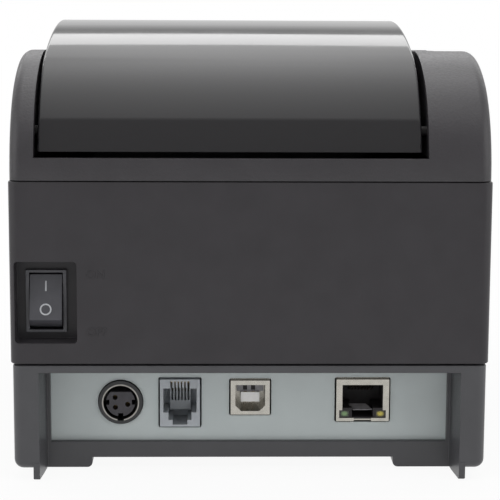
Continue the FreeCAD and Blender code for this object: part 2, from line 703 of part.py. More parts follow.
# Opening of the port bay: leaning sides, no floor, and a window in front of the socket plate
def bay_openings():
    lean = d.bay_draft / d.sill_in
    recess = profile("bay_recess", "XY_Plane", [
        Corner(-d.bay_half - lean, d.rear + 1),
        Corner(-d.sill_half, d.sill_y),
        Corner(d.sill_half, d.sill_y),
        Corner(d.bay_half + lean, d.rear + 1),
    ], (as_size(-1), d.bay_top))
    window = block("plate_window", (-d.window_half, d.window_half), (d.plate_y0 - 1, d.sill_y + 1),
                   (d.sill_z, d.bay_top))
    seat = d.plate_half + d.fit_gap
    slot = block("plate_slot", (-seat, seat), (d.plate_y0 - 1, d.plate_y1), (d.floor_top, d.bay_top))
    return [recess, window, slot]


# Lower casing: tray, corner pads, port bay with its lip, sill and fins, posts and pillars
def base_tray():
    half = d.base_half
    shell = block("base_blank", (-half, half), (-d.rear, d.rear), (d.floor_z, d.base_top))
    shell = rounded("base_corners", shell, d.corner_r, upright)
    bottom = float(d.floor_z)
    shell = rounded("base_edges", shell, d.base_r, lambda box: box.ZMax < bottom + 1e-6)
    top = float(d.base_top)
    shell = rounded("base_rim", shell, d.rim_r, lambda box: box.ZMin > top - 1e-6)
    hollow = block("base_hollow", (-half + d.wall, half - d.wall), (-d.inner_rear, d.inner_rear),
                   (d.floor_top, d.base_top + 1))
    tray = cut("base_shell", shell, hollow)
    walls = block("bay_walls", (-d.bay_outer, d.bay_outer), (d.plate_y0, d.inner_rear + 1),
                  (d.floor_z + 1, d.base_top))
    solids = [tray, walls]
    for side, sign in (("left", 1), ("right", -1)):
        solids.append(bay_fin(f"fin_{side}", sign))
        for end, along in (("rear", 1), ("front", -1)):
            solids.append(corner_pad(f"pad_{side}_{end}", sign, along))
            place = (d.pillar_x * sign, d.pillar_y * along)
            solids.append(rod(f"pillar_{side}_{end}", "Z", place, d.pillar_r, (d.floor_z, d.chassis_z)))
        for number in range(2):
            place = (d.post_x * sign, d.board_y0 + d.post_in + d.post_gap * number)
            solids.append(rod(f"post_{side}_{number}", "Z", place, d.post_r, (d.floor_z, d.board_z)))
    outer = d.inner_half - d.fit_gap
    ahead = d.inner_rear - d.fit_gap
    tongue = block("base_tongue", (-outer, outer), (-ahead, ahead),
                   (d.base_top - d.floor_t, d.base_top + d.tongue_h))
    opening = block("base_tongue_hole", (d.tongue_t - outer, outer - d.tongue_t),
                    (d.tongue_t - ahead, ahead - d.tongue_t),
                    (d.base_top - d.floor_t - 1, d.base_top + d.tongue_h + 1))
    solids.append(cut("base_tongue_ring", tongue, opening))
    holes = bay_openings()
    for place in pillar_places():
        holes.append(rod("pillar_hole", "Z", place, d.screw_r, (d.floor_z - 1, d.chassis_z + 1)))
    for place in post_places():
        holes.append(rod("post_hole", "Z", place, d.screw_r, (d.floor_top, d.board_z + 1)))
    for place in foot_places():
        seat = (d.foot_h - 1, d.foot_h + d.foot_seat)
        holes.append(rod("foot_seat", "Z", place, d.foot_r + d.fit_gap, seat))
    return cut("base_tray", fused("base_solids", *solids), *holes)


def foot_places():
    return [(d.foot_x * side, d.foot_y * end) for side in (1, -1) for end in (1, -1)]


def pillar_places():
    return [(d.pillar_x * side, d.pillar_y * end) for side in (1, -1) for end in (1, -1)]


def post_places():
    first = d.board_y0 + d.post_in
    return [(d.post_x * side, first + d.post_gap * number) for side in (1, -1) for number in range(2)]


# Rubber feet in their seats, with a bevelled lower edge
def rubber_feet():
    feet = []
    for place in foot_places():
        foot = doc.addObject("Part::Cone", "foot_tip")
        bind(foot, "Radius1", d.foot_r - d.foot_edge)
        bind(foot, "Radius2", d.foot_r)
        bind(foot, "Height", d.foot_edge)
        bind(foot, "Placement.Base.x", place[0])
        bind(foot, "Placement.Base.y", place[1])
        disc = rod("foot_disc", "Z", place, d.foot_r, (d.foot_edge, d.foot_h + d.foot_seat))
        feet.append(fused("foot", foot, disc))
    return group("rubber_feet", *feet)


# A screw that stands on the z of its head's bearing face, with the head above (+1) or below (-1)
def screw(place, face, reach, up):
    head = (face, face + d.head_h) if up > 0 else (face - d.head_h, face)
    shank = (face - reach, face) if up > 0 else (face, face + reach)
    return fused("screw", rod("screw_head", "Z", place, d.head_r, head),
                 rod("screw_shank", "Z", place, d.screw_r, shank))


def base_screws():
    reach = d.chassis_z - d.floor_z - 1
    return group("base_screws", *[screw(place, d.floor_z, reach, -1) for place in pillar_places()])


def board_screws():
    face = d.board_z + d.board_t
    return group("board_screws", *[screw(place, face, d.post_in, 1) for place in post_places()])


def main_board():
    board = block("board_blank", (-d.board_half, d.board_half), (d.board_y0, d.board_y1),
                  (d.board_z, d.board_z + d.board_t))
    face = (d.board_z - 1, d.board_z + d.board_t + 1)
    holes = [rod("board_hole", "Z", place, d.screw_r, face) for place in post_places()]
    return cut("main_board", board, *holes)


# Bright plate behind the sockets, with a flange on the base floor
def interface_plate():
    half = d.plate_half
    plate = block("plate_face", (-half, half), (d.plate_y0, d.plate_y1), (d.floor_top, d.bay_top - d.fit_gap))
    flange = block("plate_flange", (-d.plate_foot_half, d.plate_foot_half),
                   (d.plate_y0 - d.plate_foot, d.plate_y0), (d.floor_top, d.floor_top + d.plate_t))
    through = (d.plate_y0 - 1, d.plate_y1 + 1)
    gap = d.plate_gap
    holes = [rod("plate_din", "Y", (d.din_x, d.din_z), d.din_r + gap / 2, through)]
    for name, middle, width, z0, z1 in (
        ("plate_jack", d.jack_x, d.jack_w, d.jack_z0, d.jack_z1),
        ("plate_usb", d.usb_x, d.usb_w, d.usb_z0, d.usb_z1),
        ("plate_lan", d.lan_x, d.lan_w, d.lan_z0, d.lan_z1),
    ):
        reach = width / 2 + gap
        hole = block(name, (middle - reach, middle + reach), through, (z0 - gap, z1 + gap))
        holes.append(rounded(name + "_round", hole, d.plate_r, lengthwise))
    return cut("interface_plate", fused("plate_bent", plate, flange), *holes)


# Round power inlet: black cup, keyed core, metal shield and three sunk contacts
def power_socket():
    centre = (d.din_x, d.din_z)
    tube = rod("din_tube", "Y", centre, d.din_r, (d.plate_y0 - d.din_body, d.socket_y))
    body = block("din_body", (d.din_x - d.din_r, d.din_x + d.din_r),
                 (d.plate_y0 - d.din_body, d.plate_y0 - d.fit_gap), (d.din_z - d.din_r, d.board_z))
    bore = rod("din_bore", "Y", centre, d.din_ring_r, (d.socket_y - d.din_depth, d.socket_y + 1))
    return cut("power_socket", fused("din_solid", tube, body), bore)


def power_core():
    deep = d.socket_y - d.din_depth
    through = (deep - 1, d.socket_y + 1)
    core = rod("core_blank", "Y", (d.din_x, d.din_z), d.din_core_r, (deep, d.socket_y - d.din_core_in))
    holes = [rod("din_hole", "Y", place, d.din_pin_r, through) for place in power_pin_places()]
    half = d.din_key_w / 2
    near = d.din_core_r - d.din_key_d
    far = d.din_core_r + 1
    for name, x, z in (
        ("din_key_left", (near, far), (-half, half)),
        ("din_key_right", (-far, -near), (-half, half)),
        ("din_key_low", (-half, half), (-far, -near)),
        ("din_flat_top", (-far, far), (d.din_flat, far)),
    ):
        holes.append(block(name, (d.din_x + x[0], d.din_x + x[1]), through,
                           (d.din_z + z[0], d.din_z + z[1])))
    return cut("power_core", core, *holes)


def power_pin_places():
    places = []
    for angle in POWER_PIN_ANGLES:
        across = math.cos(math.radians(angle))
        rise = math.sin(math.radians(angle))
        places.append((d.din_x + d.din_pin_circle * across, d.din_z + d.din_pin_circle * rise))
    return places


def power_ring():
    centre = (d.din_x, d.din_z)
    span = (d.socket_y - d.din_depth, d.socket_y)
    outer = rod("ring_out", "Y", centre, d.din_ring_r, span)
    inner = rod("ring_in", "Y", centre, d.din_ring_r - d.din_ring_t, (span[0] - 1, span[1] + 1))
    half = d.din_split / 2
    split = block("ring_split", (d.din_x - half, d.din_x + half), (span[0] - 1, span[1] + 1),
                  (d.din_z - d.din_ring_r - 1, d.din_z))
    return cut("power_ring", outer, inner, split)


def power_pins():
    span = (d.socket_y - d.din_depth, d.socket_y - d.din_pin_in)
    pins = [rod("din_pin", "Y", place, d.din_pin_r, span) for place in power_pin_places()]
    return group("power_pins", *pins)


# Modular jack for a cash drawer, latch side down
def drawer_socket():
    half = d.jack_w / 2
    front = block("jack_front", (d.jack_x - half, d.jack_x + half), (d.plate_y0 - d.jack_body, d.socket_y),
                  (d.jack_z0, d.jack_z1))
    top = block("jack_top", (d.jack_x - half, d.jack_x + half),
                (d.plate_y0 - d.jack_body, d.plate_y0 - d.fit_gap), (d.jack_z1 - 1, d.board_z))
    deep = (d.socket_y - d.jack_depth, d.socket_y + 1)
    step = d.jack_mouth_z0 - d.jack_step_h
    cuts = []
    for name, width, z0, z1 in (
        ("jack_mouth", d.jack_mouth_w, d.jack_mouth_z0, d.jack_mouth_z1),
        ("jack_comb", d.jack_comb_w, d.jack_mouth_z1 - 1, d.jack_mouth_z1 + d.jack_comb_h),
        ("jack_step", d.jack_step_w, step, d.jack_mouth_z0 + 1),
        ("jack_latch", d.jack_latch_w, step - d.jack_latch_h, step + 1),
    ):
        cuts.append(block(name, (d.jack_x - width / 2, d.jack_x + width / 2), deep, (z0, z1)))
    return cut("drawer_socket", fused("jack_solid", front, top), *cuts)


def drawer_contacts():
    contacts = []
    top = d.jack_mouth_z1 + d.jack_comb_h
    for number in range(JACK_CONTACTS):
        middle = d.jack_x + d.contact_pitch * (number - (JACK_CONTACTS - 1) / 2)
        rear = d.socket_y - d.jack_depth
        contacts.append(profile(f"jack_contact_{number}", "YZ_Plane", [
            Corner(d.socket_y - 1, top),
            Corner(rear, top),
            Corner(rear, d.jack_mouth_z1 - d.contact_drop),
            Corner(rear + d.contact_w, d.jack_mouth_z1 - d.contact_drop),
            Corner(d.socket_y - 1, top - d.contact_w),
        ], (middle - d.contact_w / 2, middle + d.contact_w / 2)))
    return group("drawer_contacts", *contacts)


# Square usb socket hung below the board, bevelled corners down
def usb_shell():
    half = d.usb_w / 2
    front = block("usb_front", (d.usb_x - half, d.usb_x + half), (d.plate_y0 - d.usb_body, d.socket_y),
                  (d.usb_z0, d.usb_z1))
    top = block("usb_top", (d.usb_x - half, d.usb_x + half),
                (d.plate_y0 - d.usb_body, d.plate_y0 - d.fit_gap), (d.usb_z1 - 1, d.board_z))
    mouth = d.usb_mouth_w / 2
    hole = profile("usb_mouth", "XZ_Plane", [
        Corner(d.usb_x - mouth + d.usb_bevel, d.usb_mouth_z0),
        Corner(d.usb_x + mouth - d.usb_bevel, d.usb_mouth_z0),
        Corner(d.usb_x + mouth, d.usb_mouth_z0 + d.usb_bevel),
        Corner(d.usb_x + mouth, d.usb_mouth_z1),
        Corner(d.usb_x - mouth, d.usb_mouth_z1),
        Corner(d.usb_x - mouth, d.usb_mouth_z0 + d.usb_bevel),
    ], (-d.socket_y - 1, -d.socket_y + d.usb_depth))
    return cut("usb_shell", fused("usb_solid", front, top), hole)


def usb_tongue():
    half = d.usb_tongue_w / 2
    return block("usb_tongue", (d.usb_x - half, d.usb_x + half),
                 (d.socket_y - d.usb_depth, d.socket_y - d.usb_tongue_in), (d.usb_tongue_z0, d.usb_tongue_z1))


# Network jack: metal shield with a cut-out face, dark insert with the mouth, and two lamps
def lan_shell():
    half = d.lan_w / 2
    front = block("lan_front", (d.lan_x - half, d.lan_x + half), (d.plate_y0 - d.lan_body, d.socket_y),
                  (d.lan_z0, d.lan_z1))
    top = block("lan_top", (d.lan_x - half, d.lan_x + half),
                (d.plate_y0 - d.lan_body, d.plate_y0 - d.fit_gap), (d.lan_z1 - 1, d.board_z))
    inside = half - d.lan_rim
    face = (d.socket_y - d.lan_inset - 1, d.socket_y + 1)
    holes = [block("lan_inside", (d.lan_x - inside, d.lan_x + inside),
                   (d.plate_y0 - d.lan_body - 1, d.socket_y - d.lan_inset),
                   (d.lan_z0 + d.lan_rim, d.lan_z1 - d.lan_rim))]
    for name, width, z0, z1 in (
        ("lan_face_mouth", d.lan_mouth_w, d.lan_z0 + d.lan_strip, d.lan_mouth_z1),
        ("lan_face_lamps", d.lan_window_w, d.lan_z0 + d.lan_strip, d.lan_window_z),
        ("lan_face_gate", d.lan_gate_w, d.lan_z0 - 1, d.lan_mouth_z0),
    ):
        holes.append(block(name, (d.lan_x - width / 2, d.lan_x + width / 2), face, (z0, z1)))
    return cut("lan_shell", fused("lan_solid", front, top), *holes)


def lan_insert():
    inside = d.lan_w / 2 - d.lan_rim
    face = d.socket_y - d.lan_inset
    blank = block("lan_blank", (d.lan_x - inside, d.lan_x + inside),
                  (d.plate_y0 - d.lan_body + d.lan_rim, face), (d.lan_z0 + d.lan_rim, d.lan_z1 - d.lan_rim))
    deep = (d.socket_y - d.lan_depth, d.socket_y + 1)
    mouth = block("lan_mouth", (d.lan_x - d.lan_mouth_w / 2, d.lan_x + d.lan_mouth_w / 2), deep,
                  (d.lan_mouth_z0, d.lan_mouth_z1))
    latch = block("lan_latch", (d.lan_x - d.lan_latch_w / 2, d.lan_x + d.lan_latch_w / 2), deep,
                  (d.lan_mouth_z0 - d.lan_latch_h, d.lan_mouth_z0 + 1))
    seats = [lan_lamp_block("lan_seat", sign) for sign in (1, -1)]
    return cut("lan_insert", blank, mouth, latch, *seats)


def lan_lamp_block(name, sign):
    middle = d.lan_x + d.led_out * sign
    face = d.socket_y - d.lan_inset
    return block(name, (middle - d.led_w / 2, middle + d.led_w / 2), (face - d.led_t, face),
                 (d.led_z - d.led_h / 2, d.led_z + d.led_h / 2))


# Middle casing with the switch pocket in its rear wall
def main_housing():
    low = d.base_top + d.seam
    shell = block("housing_blank", (-d.half_w, d.half_w), (-d.rear, d.rear), (low, d.housing_top))
    shell = rounded("housing_corners", shell, d.corner_r, upright)
    shell = rounded("housing_rims", shell, d.rim_r, level)
    hollow = block("housing_hollow", (-d.inner_half, d.inner_half), (-d.inner_rear, d.inner_rear),
                   (low - 1, d.housing_top + 1))
    tube = cut("housing_tube", shell, hollow)
    pocket_box = block("pocket_box", (d.pocket_x0 - d.pocket_wall, d.inner_half + 1),
                       (d.pocket_y - d.pocket_wall, d.rear - 1),
                       (d.pocket_z0 - d.pocket_wall, d.pocket_z1 + d.pocket_wall))
    outer = d.inner_half - d.fit_gap
    ahead = d.inner_rear - d.fit_gap
    tongue = block("housing_tongue", (-outer, outer), (-ahead, ahead),
                   (d.housing_top - d.wall, d.housing_top + d.tongue_h))
    opening = block("housing_tongue_hole", (d.tongue_t - outer, outer - d.tongue_t),
                    (d.tongue_t - ahead, ahead - d.tongue_t),
                    (d.housing_top - d.wall - 1, d.housing_top + d.tongue_h + 1))
    ring = cut("housing_tongue_ring", tongue, opening)
    rim = block("housing_rim", (-d.inner_half - 1, d.inner_half + 1), (-d.inner_rear - 1, d.inner_rear + 1),
                (d.housing_top - d.wall, d.housing_top))
    rim_hole = block("housing_rim_hole", (d.tongue_t - outer, outer - d.tongue_t),
                     (d.tongue_t - ahead, ahead - d.tongue_t),
                     (d.housing_top - d.wall - 1, d.housing_top + 1))
    ledge = cut("housing_ledge", rim, rim_hole)
    pocket = block("pocket_blank", (d.pocket_x0, d.pocket_x1), (d.pocket_y, d.rear + 1),
                   (d.pocket_z0, d.pocket_z1))
    pocket = rounded("pocket", pocket, d.pocket_r, lengthwise)
    half_w = d.bezel_w / 2 - d.switch_wall
    half_h = d.bezel_h / 2 - d.switch_wall
    window = block("switch_window", (d.switch_x - half_w, d.switch_x + half_w),
                   (d.pocket_y - d.pocket_wall - 1, d.pocket_y + 1),
                   (d.switch_z - half_h, d.switch_z + half_h))
    return cut("main_housing", fused("housing_solids", tube, pocket_box, ring, ledge), pocket, window)


# Rocker switch: the frame with its bezel, and the rocker on two stub pins
def switch_frame():
    half_w = d.bezel_w / 2
    half_h = d.bezel_h / 2
    bezel = block("bezel", (d.switch_x - half_w, d.switch_x + half_w), (d.pocket_y, d.pocket_y + d.bezel_t),
                  (d.switch_z - half_h, d.switch_z + half_h))
    body_w = half_w - d.switch_wall
    body_h = half_h - d.switch_wall
    body = block("switch_body", (d.switch_x - body_w, d.switch_x + body_w),
                 (d.pocket_y - d.switch_body, d.pocket_y), (d.switch_z - body_h, d.switch_z + body_h))
    hole_w = d.rocker_w / 2 + d.fit_gap
    hole_h = d.rocker_half + 2 * d.move_gap
    well = block("switch_well", (d.switch_x - hole_w, d.switch_x + hole_w),
                 (d.pocket_y - d.switch_body + d.switch_wall, d.pocket_y + d.bezel_t + 1),
                 (d.switch_z - hole_h, d.switch_z + hole_h))
    pivot = rod("switch_pivot_hole", "X", (d.pocket_y - d.rocker_pivot, d.switch_z),
                d.rocker_pin_r + d.run_gap, (d.switch_x - half_w - 1, d.switch_x + half_w + 1))
    return cut("switch_frame", fused("switch_solid", bezel, body), well, pivot)


def power_rocker():
    half = d.rocker_w / 2
    back = d.pocket_y - d.rocker_pivot - 2 * d.rocker_pin_r
    raised = d.pocket_y + d.rocker_out
    end_r = d.rocker_out + d.rocker_pivot
    wedge = profile("rocker_wedge", "YZ_Plane", [
        Corner(back, d.switch_z - d.rocker_half / 2),
        Corner(d.pocket_y, d.switch_z - d.rocker_half, end_r, 1),
        Corner(raised, d.switch_z - d.rocker_face),
        Corner(d.pocket_y + d.rocker_in, d.switch_z + d.rocker_half),
        Corner(d.pocket_y - d.rocker_pin_r, d.switch_z + d.rocker_half),
        Corner(back, d.switch_z + d.rocker_half / 2),
    ], (d.switch_x - half, d.switch_x + half))
    reach = d.bezel_w / 2 - d.switch_wall
    pins = rod("rocker_pins", "X", (d.pocket_y - d.rocker_pivot, d.switch_z), d.rocker_pin_r,
               (d.switch_x - reach, d.switch_x + reach))
    return fused("power_rocker", wedge, pins)


# Side outline of the shroud, moved in by inset: rear arch of two arcs, sloping top, rounded front
def shroud_outline(inset, bottom):
    gain = d.arch_height - d.arch_r
    spread = d.arch_depth - d.arch_r
    top_r = (spread * spread + d.arch_height * d.arch_height - d.arch_r * d.arch_r) / (2 * gain)
    low_y = d.rear - d.arch_r
    high_y = d.rear - d.arch_depth
    high_z = d.spring_z + d.arch_height - top_r
    share = (top_r - inset) / (top_r - d.arch_r)
    steep = root(1 + d.top_slope * d.top_slope)
    lean = d.top_slope / steep
    level = 1 / steep
    end_y = high_y - (top_r - inset) * lean
    end_z = high_z + (top_r - inset) * level
    front_y = d.front_r - d.rear
    outer_end_y = high_y - top_r * lean
    outer_end_z = high_z + top_r * level
    line_z = outer_end_z - (outer_end_y - front_y) * d.top_slope
    front_z = line_z - d.front_r * steep
    round_r = d.front_r - inset
    return [
        Corner(d.rear - inset, bottom),
        Corner(d.rear - inset, d.spring_z, d.arch_r - inset, 1),
        Corner(high_y + (low_y - high_y) * share, high_z + (d.spring_z - high_z) * share, top_r - inset, 1),
        Corner(end_y, end_z),
        Corner(front_y - round_r * lean, front_z + round_r * level, round_r, 1),
        Corner(front_y - round_r, front_z),
        Corner(front_y - round_r, bottom),
    ]


# Height of the shroud's sloping top, less a wall, at a place along the casing
def shroud_top(along):
    return d.spring_z + d.arch_height - (d.rear - d.arch_depth - along) * d.top_slope - d.wall


# Upper casing: two bands joined below the lid opening, with inner walls that carry the hinge pins
def top_shroud():
    low = d.shroud_z
    blank = profile("shroud_blank", "YZ_Plane", shroud_outline(as_size(0), low),
                    (-d.shroud_half, d.shroud_half))
    half = float(d.shroud_half)
    base = float(low)

    def side_edge(box):
        return box.XLength < 1e-6 and abs(abs(box.XMin) - half) < 1e-6 and box.ZMax > base + 1e-6

    blank = rounded("shroud_round", blank, d.edge_r, side_edge)
    hollow = profile("shroud_hollow", "YZ_Plane", shroud_outline(d.wall, low - 1),
                     (-d.inner_half, d.inner_half))
    mouth = block("lid_mouth", (d.mouth_x0, d.mouth_x1), (-d.rear - 1, d.rear + 1),
                  (d.mouth_z, d.crest_z))
    shell = cut("shroud_shell", blank, hollow, mouth)
    webs = []
    for name, x0 in (("web_right", d.mouth_x0 - d.wall), ("web_left", d.mouth_x1)):
        webs.append(profile(name, "YZ_Plane", shroud_outline(d.wall / 2, d.mouth_z), (x0, x0 + d.wall)))
    holes = [rod("hinge_hole", "X", (d.hinge_y, d.hinge_z), d.hinge_r,
                 (d.mouth_x0 - d.wall - 1, d.mouth_x1 + d.wall + 1))]
    gap = d.move_gap
    holes.append(block("release_hole", (d.band_x - d.release_w / 2 - gap, d.band_x + d.release_w / 2 + gap),
                       (d.release_y - d.release_l / 2 - gap, d.release_y + d.release_l / 2 + gap),
                       (shroud_top(d.release_y) - d.wall, d.crest_z)))
    holes.append(rod("feed_hole", "Z", (d.band_x, d.feed_y), d.feed_r + gap,
                     (shroud_top(d.feed_y) - d.wall, d.crest_z)))
    for number in range(LAMP_COUNT):
        along = d.lamp_y + d.lamp_gap * number
        holes.append(rod("lamp_hole", "Z", (d.band_x, along), d.lamp_r,
                         (shroud_top(along) - d.wall, d.crest_z)))
    return cut("top_shroud", fused("shroud_solids", shell, *webs), *holes)


# Side outline of the lid, moved in by inset: rear arc, long middle arc, front arc and the skirt line
def lid_outline(inset, tail):
    drop = d.crest_z - d.lid_rise
    back = d.lid_cy - d.crest_y
    long_r = (back * back + drop * drop - d.lid_r * d.lid_r) / (2 * (drop - d.lid_r))
    long_z = d.crest_z - long_r
    share = (long_r - inset) / (long_r - d.lid_r)
    fall = d.crest_z - d.lid_front_z
    run = d.crest_y + d.lid_front
    nose_r = (run * run + fall * fall) / (2 * fall)
    small_r = d.lid_r - inset
    dip = d.lid_edge_z - d.lid_rise
    nose_y = -d.lid_front + inset
    nose_in = nose_r - inset
    nose_run = nose_y - d.crest_y
    nose_z = d.crest_z - nose_r + root(nose_in * nose_in - nose_run * nose_run)
    return [
        Corner(d.lid_cy + root(small_r * small_r - dip * dip), d.lid_edge_z, small_r, 1),
        Corner(d.crest_y + back * share, long_z + (d.lid_rise - long_z) * share, long_r - inset, 1),
        Corner(d.crest_y, d.crest_z - inset, nose_r - inset, 1),
        Corner(nose_y, nose_z),
    ] + tail


def lid_shell():
    front_low = d.lid_front_z - d.lid_skirt
    outer = profile("lid_blank", "YZ_Plane", lid_outline(as_size(0), [
        Corner(-d.lid_front, front_low),
        Corner(-d.lid_front + d.lid_t, front_low),
        Corner(d.crest_y, d.crest_z - 2 * d.lid_skirt),
        Corner(d.bucket_y + d.paper_r, d.crest_z - 3 * d.lid_skirt),
        Corner(d.hinge_y - 2 * d.hinge_boss_r, d.lid_edge_z),
    ]), (d.lid_x0, d.lid_x1))
    ends = (float(d.lid_x0), float(d.lid_x1))
    bottom = float(d.lid_edge_z)
    front_top = float(d.lid_front_z)

    def crown_edge(box):
        at_end = box.XLength < 1e-6 and min(abs(box.XMin - end) for end in ends) < 1e-6
        long = box.YLength > 4 and box.ZLength > 4
        return at_end and long and box.ZMax > front_top - 1e-3 and box.ZMin > bottom - 1

    outer = rounded("lid_round", outer, d.lid_edge_r, crown_edge)
    low = d.housing_top
    inner_r = d.lid_r - d.lid_t
    dip = d.lid_edge_z - d.lid_rise
    inner = profile("lid_hollow", "YZ_Plane", lid_outline(d.lid_t, [
        Corner(-d.lid_front + d.lid_t, low),
        Corner(d.lid_cy + root(inner_r * inner_r - dip * dip), low),
    ]), (d.lid_x0 + d.lid_t, d.lid_x1 - d.lid_t))
    shell = cut("lid_skin", outer, inner)
    axis = (d.hinge_y, d.hinge_z)
    boss_r = d.hinge_boss_r - d.lid_t / 2
    reach = d.lid_t + d.hinge_boss_l
    bosses = [
        rod("boss_right", "X", axis, boss_r, (d.lid_x0 + d.lid_t / 2, d.lid_x0 + reach)),
        rod("boss_left", "X", axis, boss_r, (d.lid_x1 - reach, d.lid_x1 - d.lid_t / 2)),
    ]
    bore = rod("lid_bore", "X", axis, d.hinge_r + d.run_gap, (d.lid_x0 - 1, d.lid_x1 + 1))
    return cut("lid_shell", fused("lid_solids", shell, *bosses), bore)


def hinge_pins():
    axis = (d.hinge_y, d.hinge_z)
    reach = d.lid_t + d.hinge_boss_l
    return group(
        "hinge_pins",
        rod("pin_right", "X", axis, d.hinge_r, (d.mouth_x0 - d.wall, d.lid_x0 + reach)),
        rod("pin_left", "X", axis, d.hinge_r, (d.lid_x1 - reach, d.mouth_x1 + d.wall)))


# Inner panel of the lid with the blade bar and the two lugs that carry the platen bushings
def lid_liner():
    back = d.liner_back
    gap = d.fit_gap
    panel = profile("liner_outer", "YZ_Plane", lid_outline(d.lid_t + gap, [
        Corner(-d.lid_front + d.lid_t + gap, d.lid_rise),
        Corner(d.lid_cy + d.lid_r - d.lid_t * 2, d.lid_rise),
    ]), (d.lid_x0 + d.liner_in, d.lid_x1 - d.liner_in))
    under = profile("liner_under", "YZ_Plane", lid_outline(d.lid_t + gap + d.liner_t, [
        Corner(-d.lid_front + d.lid_t + gap + d.liner_t, d.lid_rise - 1),
        Corner(d.lid_cy + d.lid_r - d.lid_t * 2, d.lid_rise - 1),
    ]), (d.lid_x0, d.lid_x1))
    trim = block("liner_trim", (d.lid_x0, d.lid_x1), (-d.lid_front, back), (d.cut_z + d.blade_t, d.crest_z))
    skin = common("liner_skin", cut("liner_panel", panel, under), trim)
    y0 = d.platen_y - d.platen_r + 1
    bar_y1 = y0 + d.blade_lap
    bar = block("liner_bar", (d.blade_x0, d.blade_x1), (y0, bar_y1),
                (d.cut_z + d.blade_t, d.lid_front_z - d.lid_t))
    solids = [skin, bar]
    holes = []
    for name, x0 in (("lug_right", d.lug_x0), ("lug_left", d.lug_x1 - d.lug_t)):
        span = (x0, x0 + d.lug_t)
        solids.append(block(name, span, (d.platen_y - d.lug_half + 1, d.platen_y + d.lug_half),
                            (d.platen_z, d.lid_front_z - d.lid_t)))
        solids.append(rod(name + "_end", "X", (d.platen_y, d.platen_z), d.lug_half, span))
        holes.append(rod(name + "_hole", "X", (d.platen_y, d.platen_z), d.bush_r,
                         (span[0] - 1, span[1] + 1)))
    body = fused("liner_solids", *solids)
    ceiling = profile("liner_ceiling", "YZ_Plane", lid_outline(d.lid_t + gap, [
        Corner(-d.lid_front + d.lid_t + gap, d.lid_rise),
        Corner(d.lid_cy + d.lid_r - d.lid_t * 2, d.lid_rise),
    ]), (d.lid_x0, d.lid_x1))
    return cut("lid_liner", common("liner_body", body, ceiling), *holes)


def fixed_blade():
    edge = d.platen_y - d.platen_r + d.fit_gap
    return block("fixed_blade", (d.blade_x0, d.blade_x1), (edge, edge + d.blade_lap),
                 (d.cut_z, d.cut_z + d.blade_t))


# Platen: rubber on a steel shaft, carried in two bushings, with its gear at the -X end
def platen_shaft():
    return rod("platen_shaft", "X", (d.platen_y, d.platen_z), d.spindle_r, (d.gear_x0, d.side_x1))


def platen_roller():
    axis = (d.platen_y, d.platen_z)
    sleeve = rod("roller_out", "X", axis, d.platen_r, (d.roller_x0, d.roller_x1))
    return cut("platen_roller", sleeve,
               rod("roller_in", "X", axis, d.spindle_r, (d.roller_x0 - 1, d.roller_x1 + 1)))


def platen_bushings():
    axis = (d.platen_y, d.platen_z)
    bushings = []
    for x0, x1 in ((d.side_x0, d.lug_x0 + d.lug_t), (d.lug_x1 - d.lug_t, d.side_x1)):
        outer = rod("bushing_out", "X", axis, d.bush_r, (x0, x1))
        inner = rod("bushing_in", "X", axis, d.spindle_r + d.run_gap, (x0 - 1, x1 + 1))
        bushings.append(cut("bushing", outer, inner))
    return group("platen_bushings", *bushings)


# Feed gear train beside the frame's -X side
def feed_gears():
    span = (d.gear_x0, d.gear_x1)
    platen = (d.platen_y, d.platen_z)
    idler = (d.platen_y, d.idler_z)
    pinion = (d.motor_y, d.motor_z)
    down = -90.0
    idler_phase = mesh_phase(d.platen_teeth, down, platen, d.idler_teeth, idler)
    pinion_phase = mesh_phase(d.idler_teeth, idler_phase, idler, d.pinion_teeth, pinion)
    return [
        gear("platen_gear", d.platen_teeth, d.gear_m, span, platen, down, d.spindle_r),
        gear("idler_gear", d.idler_teeth, d.gear_m, span, idler, idler_phase, d.idler_bore + d.run_gap),
        gear("motor_pinion", d.pinion_teeth, d.gear_m, span, pinion, pinion_phase, d.motor_shaft_r),
    ]


def idler_pin():
    axis = (d.platen_y, d.idler_z)
    pin = rod("idler_pin_rod", "X", axis, d.idler_bore, (d.gear_x0 - d.move_gap, d.side_x0 + d.frame_t))
    head = rod("idler_pin_head", "X", axis, d.idler_bore * 1.5,
               (d.gear_x0 - 2 * d.move_gap - 1, d.gear_x0 - d.move_gap))
    return fused("idler_pin", pin, head)


def motor_shaft():
    return rod("motor_shaft", "X", (d.motor_y, d.motor_z), d.motor_shaft_r,
               (d.gear_x0, d.side_x0 + d.frame_t + d.wall))


def feed_motor():
    face = d.side_x0 + d.frame_t
    axis = (d.motor_y, d.motor_z)
    can = rod("motor_can", "X", axis, d.motor_r, (face, face + d.motor_l))
    collar = rod("motor_collar", "X", axis, d.flange_r - d.fit_gap, (face - d.frame_t, face + 1))
    bore = rod("motor_bore", "X", axis, d.motor_shaft_r + d.run_gap,
               (face - d.frame_t - 1, face + d.wall + d.move_gap))
    return cut("feed_motor", fused("motor_solid", can, collar), bore)


